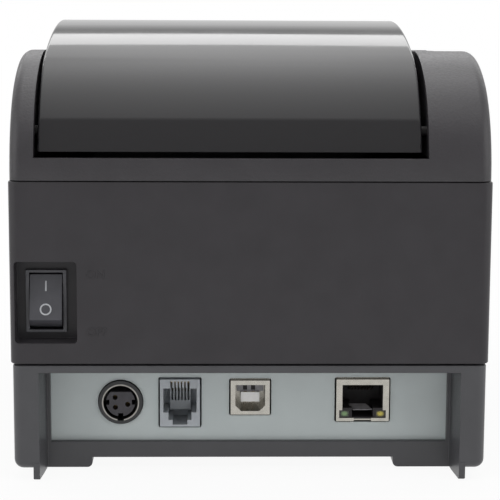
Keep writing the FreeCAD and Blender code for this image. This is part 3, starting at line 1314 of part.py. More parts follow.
# Print frame: two sides with platen notches, a floor and a cross bar behind the head
def print_frame():
    sides = []
    holes = []
    for name, x0 in (("frame_right", d.side_x0), ("frame_left", d.side_x1 - d.frame_t)):
        sides.append(profile(name, "YZ_Plane", [
            Corner(-d.frame_front, d.chassis_top),
            Corner(-d.frame_back, d.chassis_top),
            Corner(-d.frame_back, d.frame_top),
            Corner(-d.frame_step_y, d.frame_top),
            Corner(-d.frame_step_y, d.frame_step_z),
            Corner(-d.frame_front, d.frame_step_z),
        ], (x0, x0 + d.frame_t)))
        span = (x0 - 1, x0 + d.frame_t + 1)
        seat = d.bush_r + d.run_gap
        holes.append(rod(name + "_seat", "X", (d.platen_y, d.platen_z), seat, span))
        holes.append(profile(name + "_notch", "YZ_Plane", [
            Corner(d.platen_y - seat, d.platen_z),
            Corner(d.platen_y + seat, d.platen_z),
            Corner(d.platen_y + seat + d.notch_flare, d.frame_top + 1),
            Corner(d.platen_y - seat, d.frame_top + 1),
        ], span))
    deck = block("frame_deck", (d.side_x0, d.side_x1), (-d.frame_front, -d.frame_back),
                 (d.chassis_top, d.chassis_top + d.frame_floor))
    bar = block("frame_bar", (d.side_x0, d.side_x1), (d.bar_y1 - d.bar_t, d.bar_y1), (d.bar_z0, d.bar_z1))
    holes.append(rod("frame_idler_hole", "X", (d.platen_y, d.idler_z), d.idler_bore,
                     (d.side_x0 - 1, d.side_x0 + d.frame_t + 1)))
    holes.append(rod("frame_motor_hole", "X", (d.motor_y, d.motor_z), d.flange_r,
                     (d.side_x0 - 1, d.side_x0 + d.frame_t + 1)))
    return cut("print_frame", fused("frame_solids", *sides, deck, bar), *holes)


def print_head():
    return block("print_head", (d.roller_x0 + 1, d.roller_x1 - 1), (d.head_y0, d.head_y1),
                 (d.head_z0, d.head_z1))


def head_heatsink():
    sink = block("sink_blank", (d.lug_x0 + d.fit_gap, d.lug_x1 - d.fit_gap), (d.sink_y0, d.head_y0),
                 (d.sink_z0, d.head_z1))
    grooves = []
    pitch = (d.head_z1 - d.sink_z0) / (SINK_GROOVES + 1)
    deep = (d.sink_y0 - 1, d.sink_y0 + d.sink_groove)
    for number in range(SINK_GROOVES):
        low = d.sink_z0 + pitch * (number + 0.75)
        for x0, x1 in ((d.lug_x0 - 1, d.mech_x - d.spring_w), (d.mech_x + d.spring_w, d.lug_x1 + 1)):
            grooves.append(block("sink_cut", (x0, x1), deep, (low, low + pitch / 2)))
    return cut("head_heatsink", sink, *grooves)


# Bent leaf spring between the cross bar and the heat sink
def head_spring():
    low = d.sink_z0 + 1
    high = d.bar_z1 - 1
    middle = (low + high) / 2
    thick = d.spring_t
    return profile("head_spring", "YZ_Plane", [
        Corner(d.bar_y1, low),
        Corner(d.bar_y1 + thick, low),
        Corner(d.sink_y0, middle - thick),
        Corner(d.sink_y0, middle + thick),
        Corner(d.bar_y1 + thick, high),
        Corner(d.bar_y1, high),
        Corner(d.sink_y0 - thick, middle),
    ], (d.mech_x - d.spring_w / 2, d.mech_x + d.spring_w / 2))


# Cutter: frame with ears and a motor bracket, sliding blade on two racks, and the pinion shaft
def cutter_frame():
    floor = block("cutter_deck", (d.side_x0, d.side_x1), (-d.frame_front, -d.cutter_back),
                  (d.frame_step_z, d.frame_step_z + d.cutter_floor))
    top = d.blade_z0 - d.move_gap
    solids = [floor]
    for name, x0 in (("ear_right", d.side_x0), ("ear_left", d.side_x1 - d.frame_t)):
        solids.append(block(name, (x0, x0 + d.frame_t), (-d.frame_front, -d.cutter_back),
                            (d.frame_step_z, top)))
    bracket = cutter_bracket_x()
    solids.append(block("motor_bracket", bracket, (-d.frame_front, d.cutter_y - d.cutter_shaft_r - 1),
                        (d.frame_step_z, d.cutter_z)))
    shaft = rod("cutter_bore", "X", (d.cutter_y, d.cutter_z), d.cutter_shaft_r + d.run_gap,
                (d.side_x0 - 1, d.side_x1 + 1))
    drive = rod("cutter_motor_hole", "X", (d.cutter_motor_y, d.cutter_motor_z),
                d.cutter_motor_shaft_r + d.move_gap, (d.side_x0 - 1, bracket[1] + 1))
    return cut("cutter_frame", fused("cutter_solids", *solids), shaft, drive)


def cutter_bracket_x():
    x0 = d.blade_x0 + d.rack_w + 2 * d.move_gap
    return (x0, x0 + d.cutter_floor)


def moving_blade():
    wide0 = d.side_x0 + d.fit_gap
    wide1 = d.side_x1 - d.fit_gap
    middle = d.mech_x
    return profile("moving_blade", "XY_Plane", [
        Corner(wide0, -d.blade_end),
        Corner(wide1, -d.blade_end),
        Corner(wide1, -d.blade_neck),
        Corner(d.blade_x1, -d.blade_neck),
        Corner(d.blade_x1, d.blade_y),
        Corner(middle, d.blade_y - d.blade_vee),
        Corner(d.blade_x0, d.blade_y),
        Corner(d.blade_x0, -d.blade_neck),
        Corner(wide0, -d.blade_neck),
    ], (d.blade_z0, d.blade_z1))


def rack_spans():
    return ((d.blade_x0, d.blade_x0 + d.rack_w), (d.blade_x1 - d.rack_w, d.blade_x1))


# Toothed bars under the blade: straight-sided teeth, a gap over the pinion's top tooth
def blade_racks():
    module = float(d.rack_m)
    pitch = math.pi * module
    pitch_z = float(d.rack_pitch_z)
    tip_z = pitch_z - module
    base_z = pitch_z + 1.25 * module
    thick = pitch / 4 - float(d.backlash) / 2
    lean = math.tan(PRESSURE_ANGLE)
    first = math.ceil((float(d.rack_y0) - float(d.cutter_y)) / pitch)
    last = math.floor((float(d.rack_y1) - float(d.cutter_y)) / pitch)
    outline = [Vector(0, float(d.rack_y0), base_z)]
    for number in range(first, last):
        middle = float(d.cutter_y) + (number + 0.5) * pitch
        root_half = thick + (base_z - pitch_z) * lean
        tip_half = thick - (pitch_z - tip_z) * lean
        outline += [Vector(0, middle - root_half, base_z), Vector(0, middle - tip_half, tip_z),
                    Vector(0, middle + tip_half, tip_z), Vector(0, middle + root_half, base_z)]
    outline += [Vector(0, float(d.rack_y1), base_z), Vector(0, float(d.rack_y1), float(d.blade_z0)),
                Vector(0, float(d.rack_y0), float(d.blade_z0))]
    face = Part.Face(Part.makePolygon(outline + outline[:1]))
    racks = []
    for span in rack_spans():
        rack = doc.addObject("Part::Feature", "rack")
        rack.Shape = face.extrude(Vector(float(d.rack_w), 0, 0))
        rack.Placement = Placement(Vector(float(span[0]), 0, 0), Rotation())
        racks.append(rack)
    return group("blade_racks", *racks)


def cutter_gear_span():
    return (d.gear_x1 - d.cutter_gear_w, d.gear_x1)


def cutter_shaft():
    return rod("cutter_shaft", "X", (d.cutter_y, d.cutter_z), d.cutter_shaft_r,
               (cutter_gear_span()[0], d.side_x1))


def cutter_drive():
    axis = (d.cutter_y, d.cutter_z)
    motor = (d.cutter_motor_y, d.cutter_motor_z)
    up = 90.0
    pinions = [gear("cutter_pinion", d.cutter_teeth, d.rack_m, span, axis, up, d.cutter_shaft_r)
               for span in rack_spans()]
    motor_phase = mesh_phase(d.cutter_gear_teeth, up, axis, d.cutter_motor_teeth, motor)
    span = cutter_gear_span()
    wheel = gear("cutter_gear", d.cutter_gear_teeth, d.rack_m, span, axis, up, d.cutter_shaft_r)
    tip = gear("cutter_tip", d.cutter_motor_teeth, d.rack_m, span, motor, motor_phase,
               d.cutter_motor_shaft_r / 2)
    stem = rod("cutter_stem", "X", motor, d.cutter_motor_shaft_r, (span[0], cutter_bracket_x()[1] + 1))
    return [group("cutter_pinions", *pinions), wheel, fused("cutter_motor_pinion", tip, stem)]


def cutter_motor():
    face = cutter_bracket_x()[1]
    axis = (d.cutter_motor_y, d.cutter_motor_z)
    can = rod("cutter_can", "X", axis, d.cutter_motor_r, (face, face + d.cutter_motor_l))
    bore = rod("cutter_can_bore", "X", axis, d.cutter_motor_shaft_r + d.run_gap,
               (face - 1, face + 1 + d.move_gap))
    return cut("cutter_motor", can, bore)


# Snap-on cover over the cutter, ahead of the paper exit
def cover_outline(inset, tail):
    front_y = d.cover_r - d.rear
    steep = root(1 + d.top_slope * d.top_slope)
    lean = d.top_slope / steep
    level = 1 / steep
    line_z = d.cover_z - (d.cover_y - front_y) * d.top_slope
    front_z = line_z - d.cover_r * steep
    round_r = d.cover_r - inset
    start_z = d.cover_z - inset * steep + inset * d.top_slope
    return [
        Corner(d.cover_y - inset, start_z - inset * d.top_slope * 2),
        Corner(front_y - round_r * lean, front_z + round_r * level, round_r, 1),
        Corner(front_y - round_r, front_z),
    ] + tail


def cutter_cover():
    x0 = d.mouth_x0 + d.move_gap
    x1 = d.mouth_x1 - d.move_gap
    lip_z = d.cover_z - d.cover_lip
    outer = profile("cover_blank", "YZ_Plane", cover_outline(as_size(0), [
        Corner(-d.rear, d.cover_skirt_z),
        Corner(-d.rear + d.cover_t, d.cover_skirt_z),
        Corner(d.cover_y - d.cover_t, lip_z),
        Corner(d.cover_y, lip_z),
    ]), (x0, x1))
    inner = profile("cover_hollow", "YZ_Plane", cover_outline(d.cover_t, [
        Corner(-d.rear + d.cover_t, d.frame_step_z),
        Corner(d.cover_y - d.cover_t, d.frame_step_z),
    ]), (x0 + d.cover_t, x1 - d.cover_t))
    return cut("cutter_cover", outer, inner)


# Lid release and feed buttons in the band, the small board under them and its light pipes
def release_button():
    half_w = d.release_w / 2
    half_l = d.release_l / 2
    low = d.release_top - d.release_h
    key = block("release_key", (d.band_x - half_w, d.band_x + half_w),
                (d.release_y - half_l, d.release_y + half_l), (low, d.release_top))
    collar = block("release_collar", (d.band_x - half_w - d.collar, d.band_x + half_w + d.collar),
                   (d.release_y - half_l - d.collar, d.release_y + half_l + d.collar), (low, low + d.collar))
    return fused("release_button", key, collar)


def feed_button():
    place = (d.band_x, d.feed_y)
    low = d.feed_top - d.feed_h
    cap = rod("feed_cap", "Z", place, d.feed_r, (low, d.feed_top))
    collar = rod("feed_collar", "Z", place, d.feed_r + d.collar, (low, low + d.collar))
    stem = rod("feed_stem", "Z", place, d.stem_r,
               (d.panel_z + d.panel_t + d.tact_h + d.feed_travel + d.fit_gap, low + 1))
    return fused("feed_button", cap, collar, stem)


def button_board():
    return block("button_board", (-d.inner_half, d.mouth_x0 - d.wall), (d.panel_y0, d.panel_y1),
                 (d.panel_z, d.panel_z + d.panel_t))


def tact_switch():
    half = d.tact_w / 2
    low = d.panel_z + d.panel_t
    body = block("tact_body", (d.band_x - half, d.band_x + half), (d.feed_y - half, d.feed_y + half),
                 (low, low + d.tact_h - 1))
    plunger = rod("tact_plunger", "Z", (d.band_x, d.feed_y), d.stem_r, (low, low + d.tact_h))
    return fused("tact_switch", body, plunger)


def light_pipes():
    pipes = []
    for number in range(LAMP_COUNT):
        along = d.lamp_y + d.lamp_gap * number
        pipes.append(rod("light_pipe", "Z", (d.band_x, along), d.lamp_r,
                         (d.panel_z + d.panel_t, shroud_top(along) + d.wall)))
    return group("light_pipes", *pipes)


# Chassis plate, paper bucket and the paper sensor on the bucket
def inner_chassis():
    half = d.inner_half - d.chassis_gap
    ahead = d.inner_rear - d.chassis_gap
    return block("inner_chassis", (-half, half), (-ahead, ahead), (d.chassis_z, d.chassis_top))


def bucket_outline(radius, front_z, rear_z):
    return [
        Corner(d.bucket_y - radius, front_z),
        Corner(d.bucket_y - radius, d.bucket_z, radius, 1),
        Corner(d.bucket_y, d.bucket_z - radius, radius, 1),
        Corner(d.bucket_y + radius, d.bucket_z),
        Corner(d.bucket_y + radius, rear_z),
    ]


def paper_bucket():
    x0 = d.bay_x0 - d.bucket_t
    x1 = d.bay_x1 + d.bucket_t
    outer = profile("bucket_outer", "YZ_Plane",
                    bucket_outline(d.paper_r + d.bucket_t, d.bucket_front_z, d.bucket_rear_z), (x0, x1))
    inner = profile("bucket_inner", "YZ_Plane",
                    bucket_outline(d.paper_r, d.bucket_rear_z + 1, d.bucket_rear_z + 1), (d.bay_x0, d.bay_x1))
    low = d.bucket_z - d.paper_r - d.bucket_t / 2
    ribs = []
    for number in (-1, 0, 1):
        middle = d.mech_x + d.paper_w / 3 * number
        ribs.append(block("bucket_rib", (middle - d.bucket_rib_t / 2, middle + d.bucket_rib_t / 2),
                          (d.bucket_y - d.bucket_rib, d.bucket_y + d.bucket_rib), (d.chassis_top, low)))
    return cut("paper_bucket", fused("bucket_solid", outer, *ribs), inner)


def paper_sensor():
    face = d.bucket_y - d.paper_r - d.bucket_t
    half = d.sensor_w / 2
    return block("paper_sensor", (d.mech_x - half, d.mech_x + half), (face - d.sensor_t, face),
                 (d.sensor_z, d.sensor_z + d.sensor_w))


def all_pieces():
    lamp_names = (("lan_led_yellow", -1), ("lan_led_green", 1))
    return [
        base_tray(), rubber_feet(), base_screws(), board_screws(), main_board(), interface_plate(),
        power_socket(), power_core(), power_ring(), power_pins(), drawer_socket(), drawer_contacts(),
        usb_shell(), usb_tongue(), lan_shell(), lan_insert(),
        *[lan_lamp_block(name, sign) for name, sign in lamp_names],
        main_housing(), switch_frame(), power_rocker(), top_shroud(), lid_shell(), hinge_pins(),
        lid_liner(), fixed_blade(), platen_shaft(), platen_roller(), platen_bushings(), *feed_gears(),
        idler_pin(), motor_shaft(), feed_motor(), print_frame(), print_head(), head_heatsink(), head_spring(),
        cutter_frame(), moving_blade(), blade_racks(), cutter_shaft(), *cutter_drive(), cutter_motor(),
        cutter_cover(), release_button(), feed_button(), button_board(), tact_switch(), light_pipes(),
        inner_chassis(), paper_bucket(), paper_sensor(),
    ]


def write_pieces(pieces):
    doc.recompute()
    failed = [item.Name for item in doc.Objects if {"Invalid", "Error"} & set(item.State)]
    if failed:
        raise RuntimeError("failed features: " + ", ".join(failed))
    for piece in pieces:
        if piece.Shape.isNull() or not piece.Shape.isValid():
            raise RuntimeError("bad shape: " + piece.Label)
    os.makedirs("parts", exist_ok=True)
    for piece in pieces:
        piece.Shape.exportStep(f"parts/{piece.Label}.step")
        print(piece.Label, len(piece.Shape.Solids), round(piece.Shape.Volume))


write_pieces(all_pieces())
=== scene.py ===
import json
import math

import bmesh
import bpy
from mathutils import Matrix, Quaternion, Vector


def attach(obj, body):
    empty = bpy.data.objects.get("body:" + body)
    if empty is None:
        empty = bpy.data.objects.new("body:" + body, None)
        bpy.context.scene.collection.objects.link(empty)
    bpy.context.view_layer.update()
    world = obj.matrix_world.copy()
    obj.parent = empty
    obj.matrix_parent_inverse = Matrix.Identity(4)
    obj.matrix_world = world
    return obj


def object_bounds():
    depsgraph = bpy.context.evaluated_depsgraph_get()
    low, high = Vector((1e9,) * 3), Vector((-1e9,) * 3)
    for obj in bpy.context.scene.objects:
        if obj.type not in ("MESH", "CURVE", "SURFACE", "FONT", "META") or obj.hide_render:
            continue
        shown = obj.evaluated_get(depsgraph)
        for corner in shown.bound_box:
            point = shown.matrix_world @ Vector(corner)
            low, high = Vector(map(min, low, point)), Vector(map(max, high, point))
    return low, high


# Receipt printer seen from the rear: finishes, printed marks, small socket details, studio and camera

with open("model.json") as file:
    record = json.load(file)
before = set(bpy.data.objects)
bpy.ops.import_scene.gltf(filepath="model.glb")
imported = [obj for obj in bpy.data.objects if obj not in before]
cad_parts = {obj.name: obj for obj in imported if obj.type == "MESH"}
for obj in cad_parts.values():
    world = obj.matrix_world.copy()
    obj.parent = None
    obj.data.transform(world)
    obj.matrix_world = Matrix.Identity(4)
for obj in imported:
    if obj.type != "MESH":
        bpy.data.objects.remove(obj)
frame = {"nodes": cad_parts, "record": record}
cad_low, cad_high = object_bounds()
nodes = frame["nodes"]
MM = 0.001

# Camera: place and clipping in metres, angles in degrees, lens and sensor in millimetres
CAMERA_PLACE = (0.0120, 0.6083, 0.1530)
CAMERA_CLIP = (0.01, 50.0)
VIEW_YAW = -1.305
VIEW_PITCH = 9.029
VIEW_ROLL = 0.279
LENS = 125.13
SENSOR = 36.0

# Shading of the carried-over solids
SHARP_ANGLE = 24.0
WELD_GAP = 1e-6

# Part of a noise's range that spreads over a whole variation, and samples of a softened edge
NOISE_SPAN = (0.3, 0.7)
EDGE_SAMPLES = 6


def srgb(red, green, blue):
    def linear(level):
        share = level / 255
        return share / 12.92 if share <= 0.04045 else ((share + 0.055) / 1.055) ** 2.4

    return (linear(red), linear(green), linear(blue), 1.0)


def scaled(colour, factor):
    return tuple(min(1.0, level * factor) for level in colour[:3]) + (1.0,)


def grey(level):
    return (level, level, level, 1.0)


def new_object(name, data):
    item = bpy.data.objects.new(name, data)
    bpy.context.scene.collection.objects.link(item)
    return item


# A finish under construction: one principled shader and the textures that feed it
class Finish:
    def __init__(self, name, colour, roughness, metallic=0.0):
        self.material = bpy.data.materials.new(name)
        self.material.use_nodes = True
        self.tree = self.material.node_tree
        self.shader = self.tree.nodes["Principled BSDF"]
        self.colour = colour
        self.set("Base Color", colour)
        self.set("Roughness", roughness)
        self.set("Metallic", metallic)
        self.coords = self.tree.nodes.new("ShaderNodeTexCoord")
        self.place = self.coords.outputs["Object"]

    def set(self, socket, value):
        self.shader.inputs[socket].default_value = value

    def link(self, output, socket):
        self.tree.links.new(output, socket)

    def stretched(self, scale):
        mapping = self.tree.nodes.new("ShaderNodeMapping")
        mapping.inputs["Scale"].default_value = scale
        self.link(self.place, mapping.inputs["Vector"])
        return mapping.outputs["Vector"]

    def noise(self, cell_mm, detail=2.0, stretch=None):
        node = self.tree.nodes.new("ShaderNodeTexNoise")
        node.inputs["Scale"].default_value = 1 / (cell_mm * MM)
        node.inputs["Detail"].default_value = detail
        vector = self.stretched(stretch) if stretch else self.place
        self.link(vector, node.inputs["Vector"])
        return node.outputs["Fac"]

    def cells(self, cell_mm):
        node = self.tree.nodes.new("ShaderNodeTexVoronoi")
        node.inputs["Scale"].default_value = 1 / (cell_mm * MM)
        self.link(self.place, node.inputs["Vector"])
        return node.outputs["Distance"]

    # Base colour between two shares of the finish's own colour
    def vary_colour(self, output, shares, span=NOISE_SPAN):
        ramp = self.tree.nodes.new("ShaderNodeValToRGB")
        for stop, position, share in zip(ramp.color_ramp.elements, span, shares):
            stop.position = position
            stop.color = scaled(self.colour, share)
        self.link(output, ramp.inputs["Fac"])
        self.link(ramp.outputs["Color"], self.shader.inputs["Base Color"])

    def vary_roughness(self, output, rough):
        node = self.tree.nodes.new("ShaderNodeMapRange")
        node.inputs["From Min"].default_value = NOISE_SPAN[0]
        node.inputs["From Max"].default_value = NOISE_SPAN[1]
        node.inputs["To Min"].default_value = rough[0]
        node.inputs["To Max"].default_value = rough[1]
        self.link(output, node.inputs["Value"])
        self.link(node.outputs["Result"], self.shader.inputs["Roughness"])

    # Surface relief, with edges softened in the shading where edge_mm is given
    def bump(self, output, depth_mm, strength, edge_mm=0.0):
        node = self.tree.nodes.new("ShaderNodeBump")
        node.inputs["Distance"].default_value = depth_mm * MM
        node.inputs["Strength"].default_value = strength
        self.link(output, node.inputs["Height"])
        self.link(node.outputs["Normal"], self.shader.inputs["Normal"])
        if edge_mm:
            edge = self.tree.nodes.new("ShaderNodeBevel")
            edge.samples = EDGE_SAMPLES
            edge.inputs["Radius"].default_value = edge_mm * MM
            self.link(edge.outputs["Normal"], node.inputs["Normal"])

    # Cloudy colour
    def mottle(self, cell_mm, dark, light, detail=2.0):
        self.vary_colour(self.noise(cell_mm, detail), (dark, light))

    # Cloudy roughness
    def uneven(self, cell_mm, rough, detail=2.0):
        self.vary_roughness(self.noise(cell_mm, detail), rough)

    # Grain that shows in the roughness and in the relief
    def grain(self, cell_mm, rough, depth_mm, strength, detail=2.0, edge_mm=0.0, stretch=None):
        output = self.noise(cell_mm, detail, stretch)
        self.vary_roughness(output, rough)
        self.bump(output, depth_mm, strength, edge_mm)


CHARCOAL = srgb(54, 52, 55)


# Middle casing: charcoal plastic, half gloss over a fine grain
def casing():
    finish = Finish("casing_plastic", CHARCOAL, 0.36)
    finish.mottle(cell_mm=9.0, dark=0.92, light=1.08, detail=4.0)
    finish.grain(cell_mm=0.32, rough=(0.31, 0.42), depth_mm=0.022, strength=0.45, detail=3.0, edge_mm=0.35)
    finish.set("Specular IOR Level", 0.3)
    return finish.material


# Upper casing: the same plastic, glossier over a coarser grain
def shroud_casing():
    finish = Finish("shroud_plastic", CHARCOAL, 0.36)
    finish.mottle(cell_mm=9.0, dark=0.92, light=1.08, detail=4.0)
    finish.grain(cell_mm=0.8, rough=(0.31, 0.42), depth_mm=0.12, strength=0.7, detail=3.0, edge_mm=0.35)
    finish.set("Specular IOR Level", 0.45)
    return finish.material


# Lower casing: a paler plastic with a smoother skin
def base_casing():
    finish = Finish("base_plastic", srgb(70, 70, 73), 0.36)
    finish.mottle(cell_mm=9.0, dark=0.94, light=1.06, detail=4.0)
    finish.grain(cell_mm=0.3, rough=(0.32, 0.42), depth_mm=0.018, strength=0.4, detail=3.0, edge_mm=0.4)
    return finish.material


# Lid: polished black plastic with the faint waviness of a thin moulding
def lid_gloss():
    finish = Finish("lid_plastic", srgb(36, 35, 37), 0.06)
    finish.uneven(cell_mm=14.0, rough=(0.045, 0.08), detail=3.0)
    waves = finish.noise(cell_mm=26.0, detail=1.0, stretch=(0.35, 1.0, 1.0))
    finish.bump(waves, depth_mm=0.05, strength=0.5, edge_mm=0.45)
    finish.set("Specular IOR Level", 0.4)
    return finish.material


# Inner mouldings: plain black with a slight sheen
def inner_plastic():
    finish = Finish("inner_plastic", srgb(48, 48, 51), 0.5)
    finish.mottle(cell_mm=12.0, dark=0.85, light=1.15, detail=3.0)
    finish.grain(cell_mm=0.6, rough=(0.42, 0.6), depth_mm=0.02, strength=0.4)
    return finish.material


# Socket plate: satin painted sheet with a fine orange peel
def bright_plate():
    finish = Finish("plate_paint", srgb(198, 206, 206), 0.42, metallic=0.1)
    finish.mottle(cell_mm=22.0, dark=0.95, light=1.04, detail=3.0)
    finish.grain(cell_mm=0.9, rough=(0.36, 0.48), depth_mm=0.012, strength=0.3)
    return finish.material


def dark_plastic(name, colour, specular=0.5):
    finish = Finish(name, colour, 0.45)
    finish.mottle(cell_mm=3.0, dark=0.85, light=1.2)
    finish.grain(cell_mm=0.25, rough=(0.38, 0.55), depth_mm=0.015, strength=0.4)
    finish.set("Specular IOR Level", specular)
    return finish.material


def socket_black():
    return dark_plastic("socket_plastic", srgb(42, 43, 45))


# Core of the power socket
def core_grey():
    return dark_plastic("core_plastic", srgb(60, 58, 63))


# Insert of the network jack: a paler copy of the socket plastic, its colour raised as painted light in the
# jack's shaded inside
def insert_grey():
    return dark_plastic("insert_plastic", srgb(54, 52, 53), specular=0.2)


# Hinge pins, black plastic made darker still as painted shade in the lid's gap, and the dark bars that
# stand as painted shade in the slots of the usb socket
def dull_black():
    return dark_plastic("dull_plastic", srgb(36, 34, 35), specular=0.2)


# Drawer jack: slightly translucent moulding
def jack_grey():
    finish = Finish("jack_plastic", srgb(188, 193, 198), 0.4)
    finish.mottle(cell_mm=4.0, dark=0.93, light=1.04)
    finish.grain(cell_mm=0.3, rough=(0.34, 0.48), depth_mm=0.012, strength=0.3, edge_mm=0.2)
    finish.set("Subsurface Weight", 0.25)
    finish.set("Subsurface Radius", (0.003, 0.003, 0.003))
    return finish.material


# Plated shields: bright tin with faint drawing lines along Y
def socket_metal():
    finish = Finish("tin_plate", srgb(184, 181, 173), 0.3, metallic=1.0)
    finish.mottle(cell_mm=2.5, dark=0.86, light=1.05, detail=3.0)
    finish.grain(cell_mm=0.35, rough=(0.22, 0.38), depth_mm=0.008, strength=0.25, stretch=(1.0, 0.06, 1.0))
    return finish.material


# Shield of the power socket: dulled nickel
def ring_metal():
    finish = Finish("ring_nickel", srgb(152, 150, 145), 0.34, metallic=1.0)
    finish.mottle(cell_mm=1.5, dark=0.85, light=1.1)
    finish.uneven(cell_mm=0.4, rough=(0.28, 0.42))
    return finish.material


def contact_metal():
    finish = Finish("gold_flash", srgb(150, 126, 84), 0.32, metallic=1.0)
    finish.mottle(cell_mm=0.8, dark=0.8, light=1.1)
    finish.uneven(cell_mm=0.3, rough=(0.2, 0.36))
    return finish.material


def tongue_white():
    finish = Finish("tongue_plastic", srgb(250, 249, 247), 0.45)
    finish.mottle(cell_mm=2.0, dark=0.93, light=1.02)
    finish.bump(finish.noise(cell_mm=0.25), depth_mm=0.01, strength=0.3)
    return finish.material


# Lamp lens: colour painted bright in the middle as a painted highlight, and dark towards its rim as painted
# shade
def lamp(name, colour):
    finish = Finish(name, colour, 0.2)
    centred = finish.tree.nodes.new("ShaderNodeVectorMath")
    centred.operation = "MULTIPLY_ADD"
    centred.inputs[1].default_value = (2.0, 0.0, 2.0)
    centred.inputs[2].default_value = (-1.0, 0.0, -1.0)
    finish.link(finish.coords.outputs["Generated"], centred.inputs[0])
    away = finish.tree.nodes.new("ShaderNodeVectorMath")
    away.operation = "LENGTH"
    finish.link(centred.outputs["Vector"], away.inputs[0])
    finish.vary_colour(away.outputs["Value"], shares=(1.25, 0.08), span=(0.35, 1.0))
    finish.bump(finish.cells(cell_mm=0.35), depth_mm=0.03, strength=0.5)
    finish.set("Coat Weight", 0.4)
    return finish.material


def lamp_green():
    return lamp("lamp_green", srgb(116, 150, 98))


def lamp_yellow():
    return lamp("lamp_yellow", srgb(198, 182, 62))


# Rocker and its frame: smooth black nylon
def switch_black():
    finish = Finish("switch_nylon", srgb(79, 79, 84), 0.36)
    finish.mottle(cell_mm=5.0, dark=0.9, light=1.1, detail=3.0)
    finish.grain(cell_mm=0.4, rough=(0.30, 0.44), depth_mm=0.01, strength=0.3, edge_mm=0.3)
    return finish.material


def rubber():
    finish = Finish("rubber", srgb(28, 28, 28), 0.8)
    finish.mottle(cell_mm=3.0, dark=0.8, light=1.3, detail=3.0)
    finish.grain(cell_mm=0.5, rough=(0.7, 0.9), depth_mm=0.04, strength=0.5, detail=4.0)
    return finish.material


# Ground steel with lines along X
def steel():
    finish = Finish("ground_steel", srgb(196, 196, 198), 0.3, metallic=1.0)
    finish.mottle(cell_mm=6.0, dark=0.85, light=1.06, detail=3.0)
    finish.grain(cell_mm=0.25, rough=(0.2, 0.42), depth_mm=0.006, strength=0.3, detail=3.0,
                 stretch=(0.05, 1.0, 1.0))
    return finish.material


def gear_white():
    finish = Finish("gear_plastic", srgb(216, 213, 203), 0.38)
    finish.mottle(cell_mm=2.5, dark=0.92, light=1.03, detail=3.0)
    finish.uneven(cell_mm=0.5, rough=(0.3, 0.46))
    finish.set("Subsurface Weight", 0.08)
    finish.set("Subsurface Radius", (0.0012, 0.0011, 0.001))
    return finish.material


# Circuit board: solder mask with lighter tracks
TRACK_CELL = 9.0 * MM
TRACK_SHARE = 0.035


def board_green():
    dark = srgb(24, 74, 42)
    finish = Finish("solder_mask", dark, 0.3)
    tracks = finish.tree.nodes.new("ShaderNodeTexBrick")
    tracks.inputs["Scale"].default_value = 1 / TRACK_CELL
    tracks.inputs["Mortar Size"].default_value = TRACK_SHARE
    tracks.inputs["Color1"].default_value = dark
    tracks.inputs["Color2"].default_value = srgb(20, 66, 38)
    tracks.inputs["Mortar"].default_value = srgb(58, 118, 70)
    finish.link(finish.place, tracks.inputs["Vector"])
    finish.link(tracks.outputs["Color"], finish.shader.inputs["Base Color"])
    finish.bump(tracks.outputs["Fac"], depth_mm=0.03, strength=0.4)
    return finish.material


# Extruded aluminium with drawing lines along X
def heatsink():
    finish = Finish("aluminium", srgb(200, 201, 204), 0.34, metallic=1.0)
    finish.mottle(cell_mm=8.0, dark=0.9, light=1.04)
    finish.grain(cell_mm=0.3, rough=(0.26, 0.44), depth_mm=0.01, strength=0.3, stretch=(0.03, 1.0, 1.0))
    return finish.material


def ceramic():
    finish = Finish("glazed_ceramic", srgb(228, 224, 212), 0.18)
    finish.mottle(cell_mm=4.0, dark=0.93, light=1.02, detail=3.0)
    finish.uneven(cell_mm=1.0, rough=(0.12, 0.24))
    finish.set("Coat Weight", 0.5)
    return finish.material


def light_pipe():
    finish = Finish("frosted_pipe", srgb(226, 232, 228), 0.35)
    finish.uneven(cell_mm=0.4, rough=(0.28, 0.45))
    finish.set("Transmission Weight", 0.75)
    finish.set("IOR", 1.49)
    return finish.material


def key_plastic():
    finish = Finish("key_plastic", srgb(74, 74, 77), 0.5)
    finish.mottle(cell_mm=6.0, dark=0.93, light=1.07, detail=3.0)
    finish.grain(cell_mm=0.28, rough=(0.44, 0.58), depth_mm=0.02, strength=0.5, detail=3.0)
    return finish.material


# Print on the rocker
def mark_white():
    finish = Finish("pad_print", srgb(196, 198, 202), 0.5)
    finish.mottle(cell_mm=0.5, dark=0.88, light=1.02, detail=3.0)
    finish.uneven(cell_mm=0.2, rough=(0.42, 0.6))
    return finish.material


# Sprung tab in the network jack, paler than the black insert as painted light in the jack's shade, and roof
# of the usb socket
def tab_grey():
    finish = Finish("tab_grey", srgb(132, 131, 134), 0.4)
    finish.mottle(cell_mm=1.5, dark=0.85, light=1.1)
    finish.uneven(cell_mm=0.4, rough=(0.34, 0.48))
    return finish.material


FINISHES = {
    maker.__name__: maker()
    for maker in (
        casing, lid_gloss, inner_plastic, bright_plate, socket_black, jack_grey, socket_metal,
        contact_metal, tongue_white, lamp_green, lamp_yellow, switch_black, rubber, steel,
        gear_white, board_green, heatsink, ceramic, light_pipe, key_plastic, mark_white,
        base_casing, shroud_casing, tab_grey, core_grey, insert_grey, dull_black, ring_metal,
    )
}

# Solids whose finish differs from that of their slot
OWN_FINISH = {
    "base_tray": "base_casing",
    "top_shroud": "shroud_casing",
    "power_core": "core_grey",
    "power_ring": "ring_metal",
    # paler copy of the socket plastic: painted light inside the network jack
    "lan_insert": "insert_grey",
    # darker copy of the black plastic: painted shade on the pins in the lid's gap
    "hinge_pins": "dull_black",
}


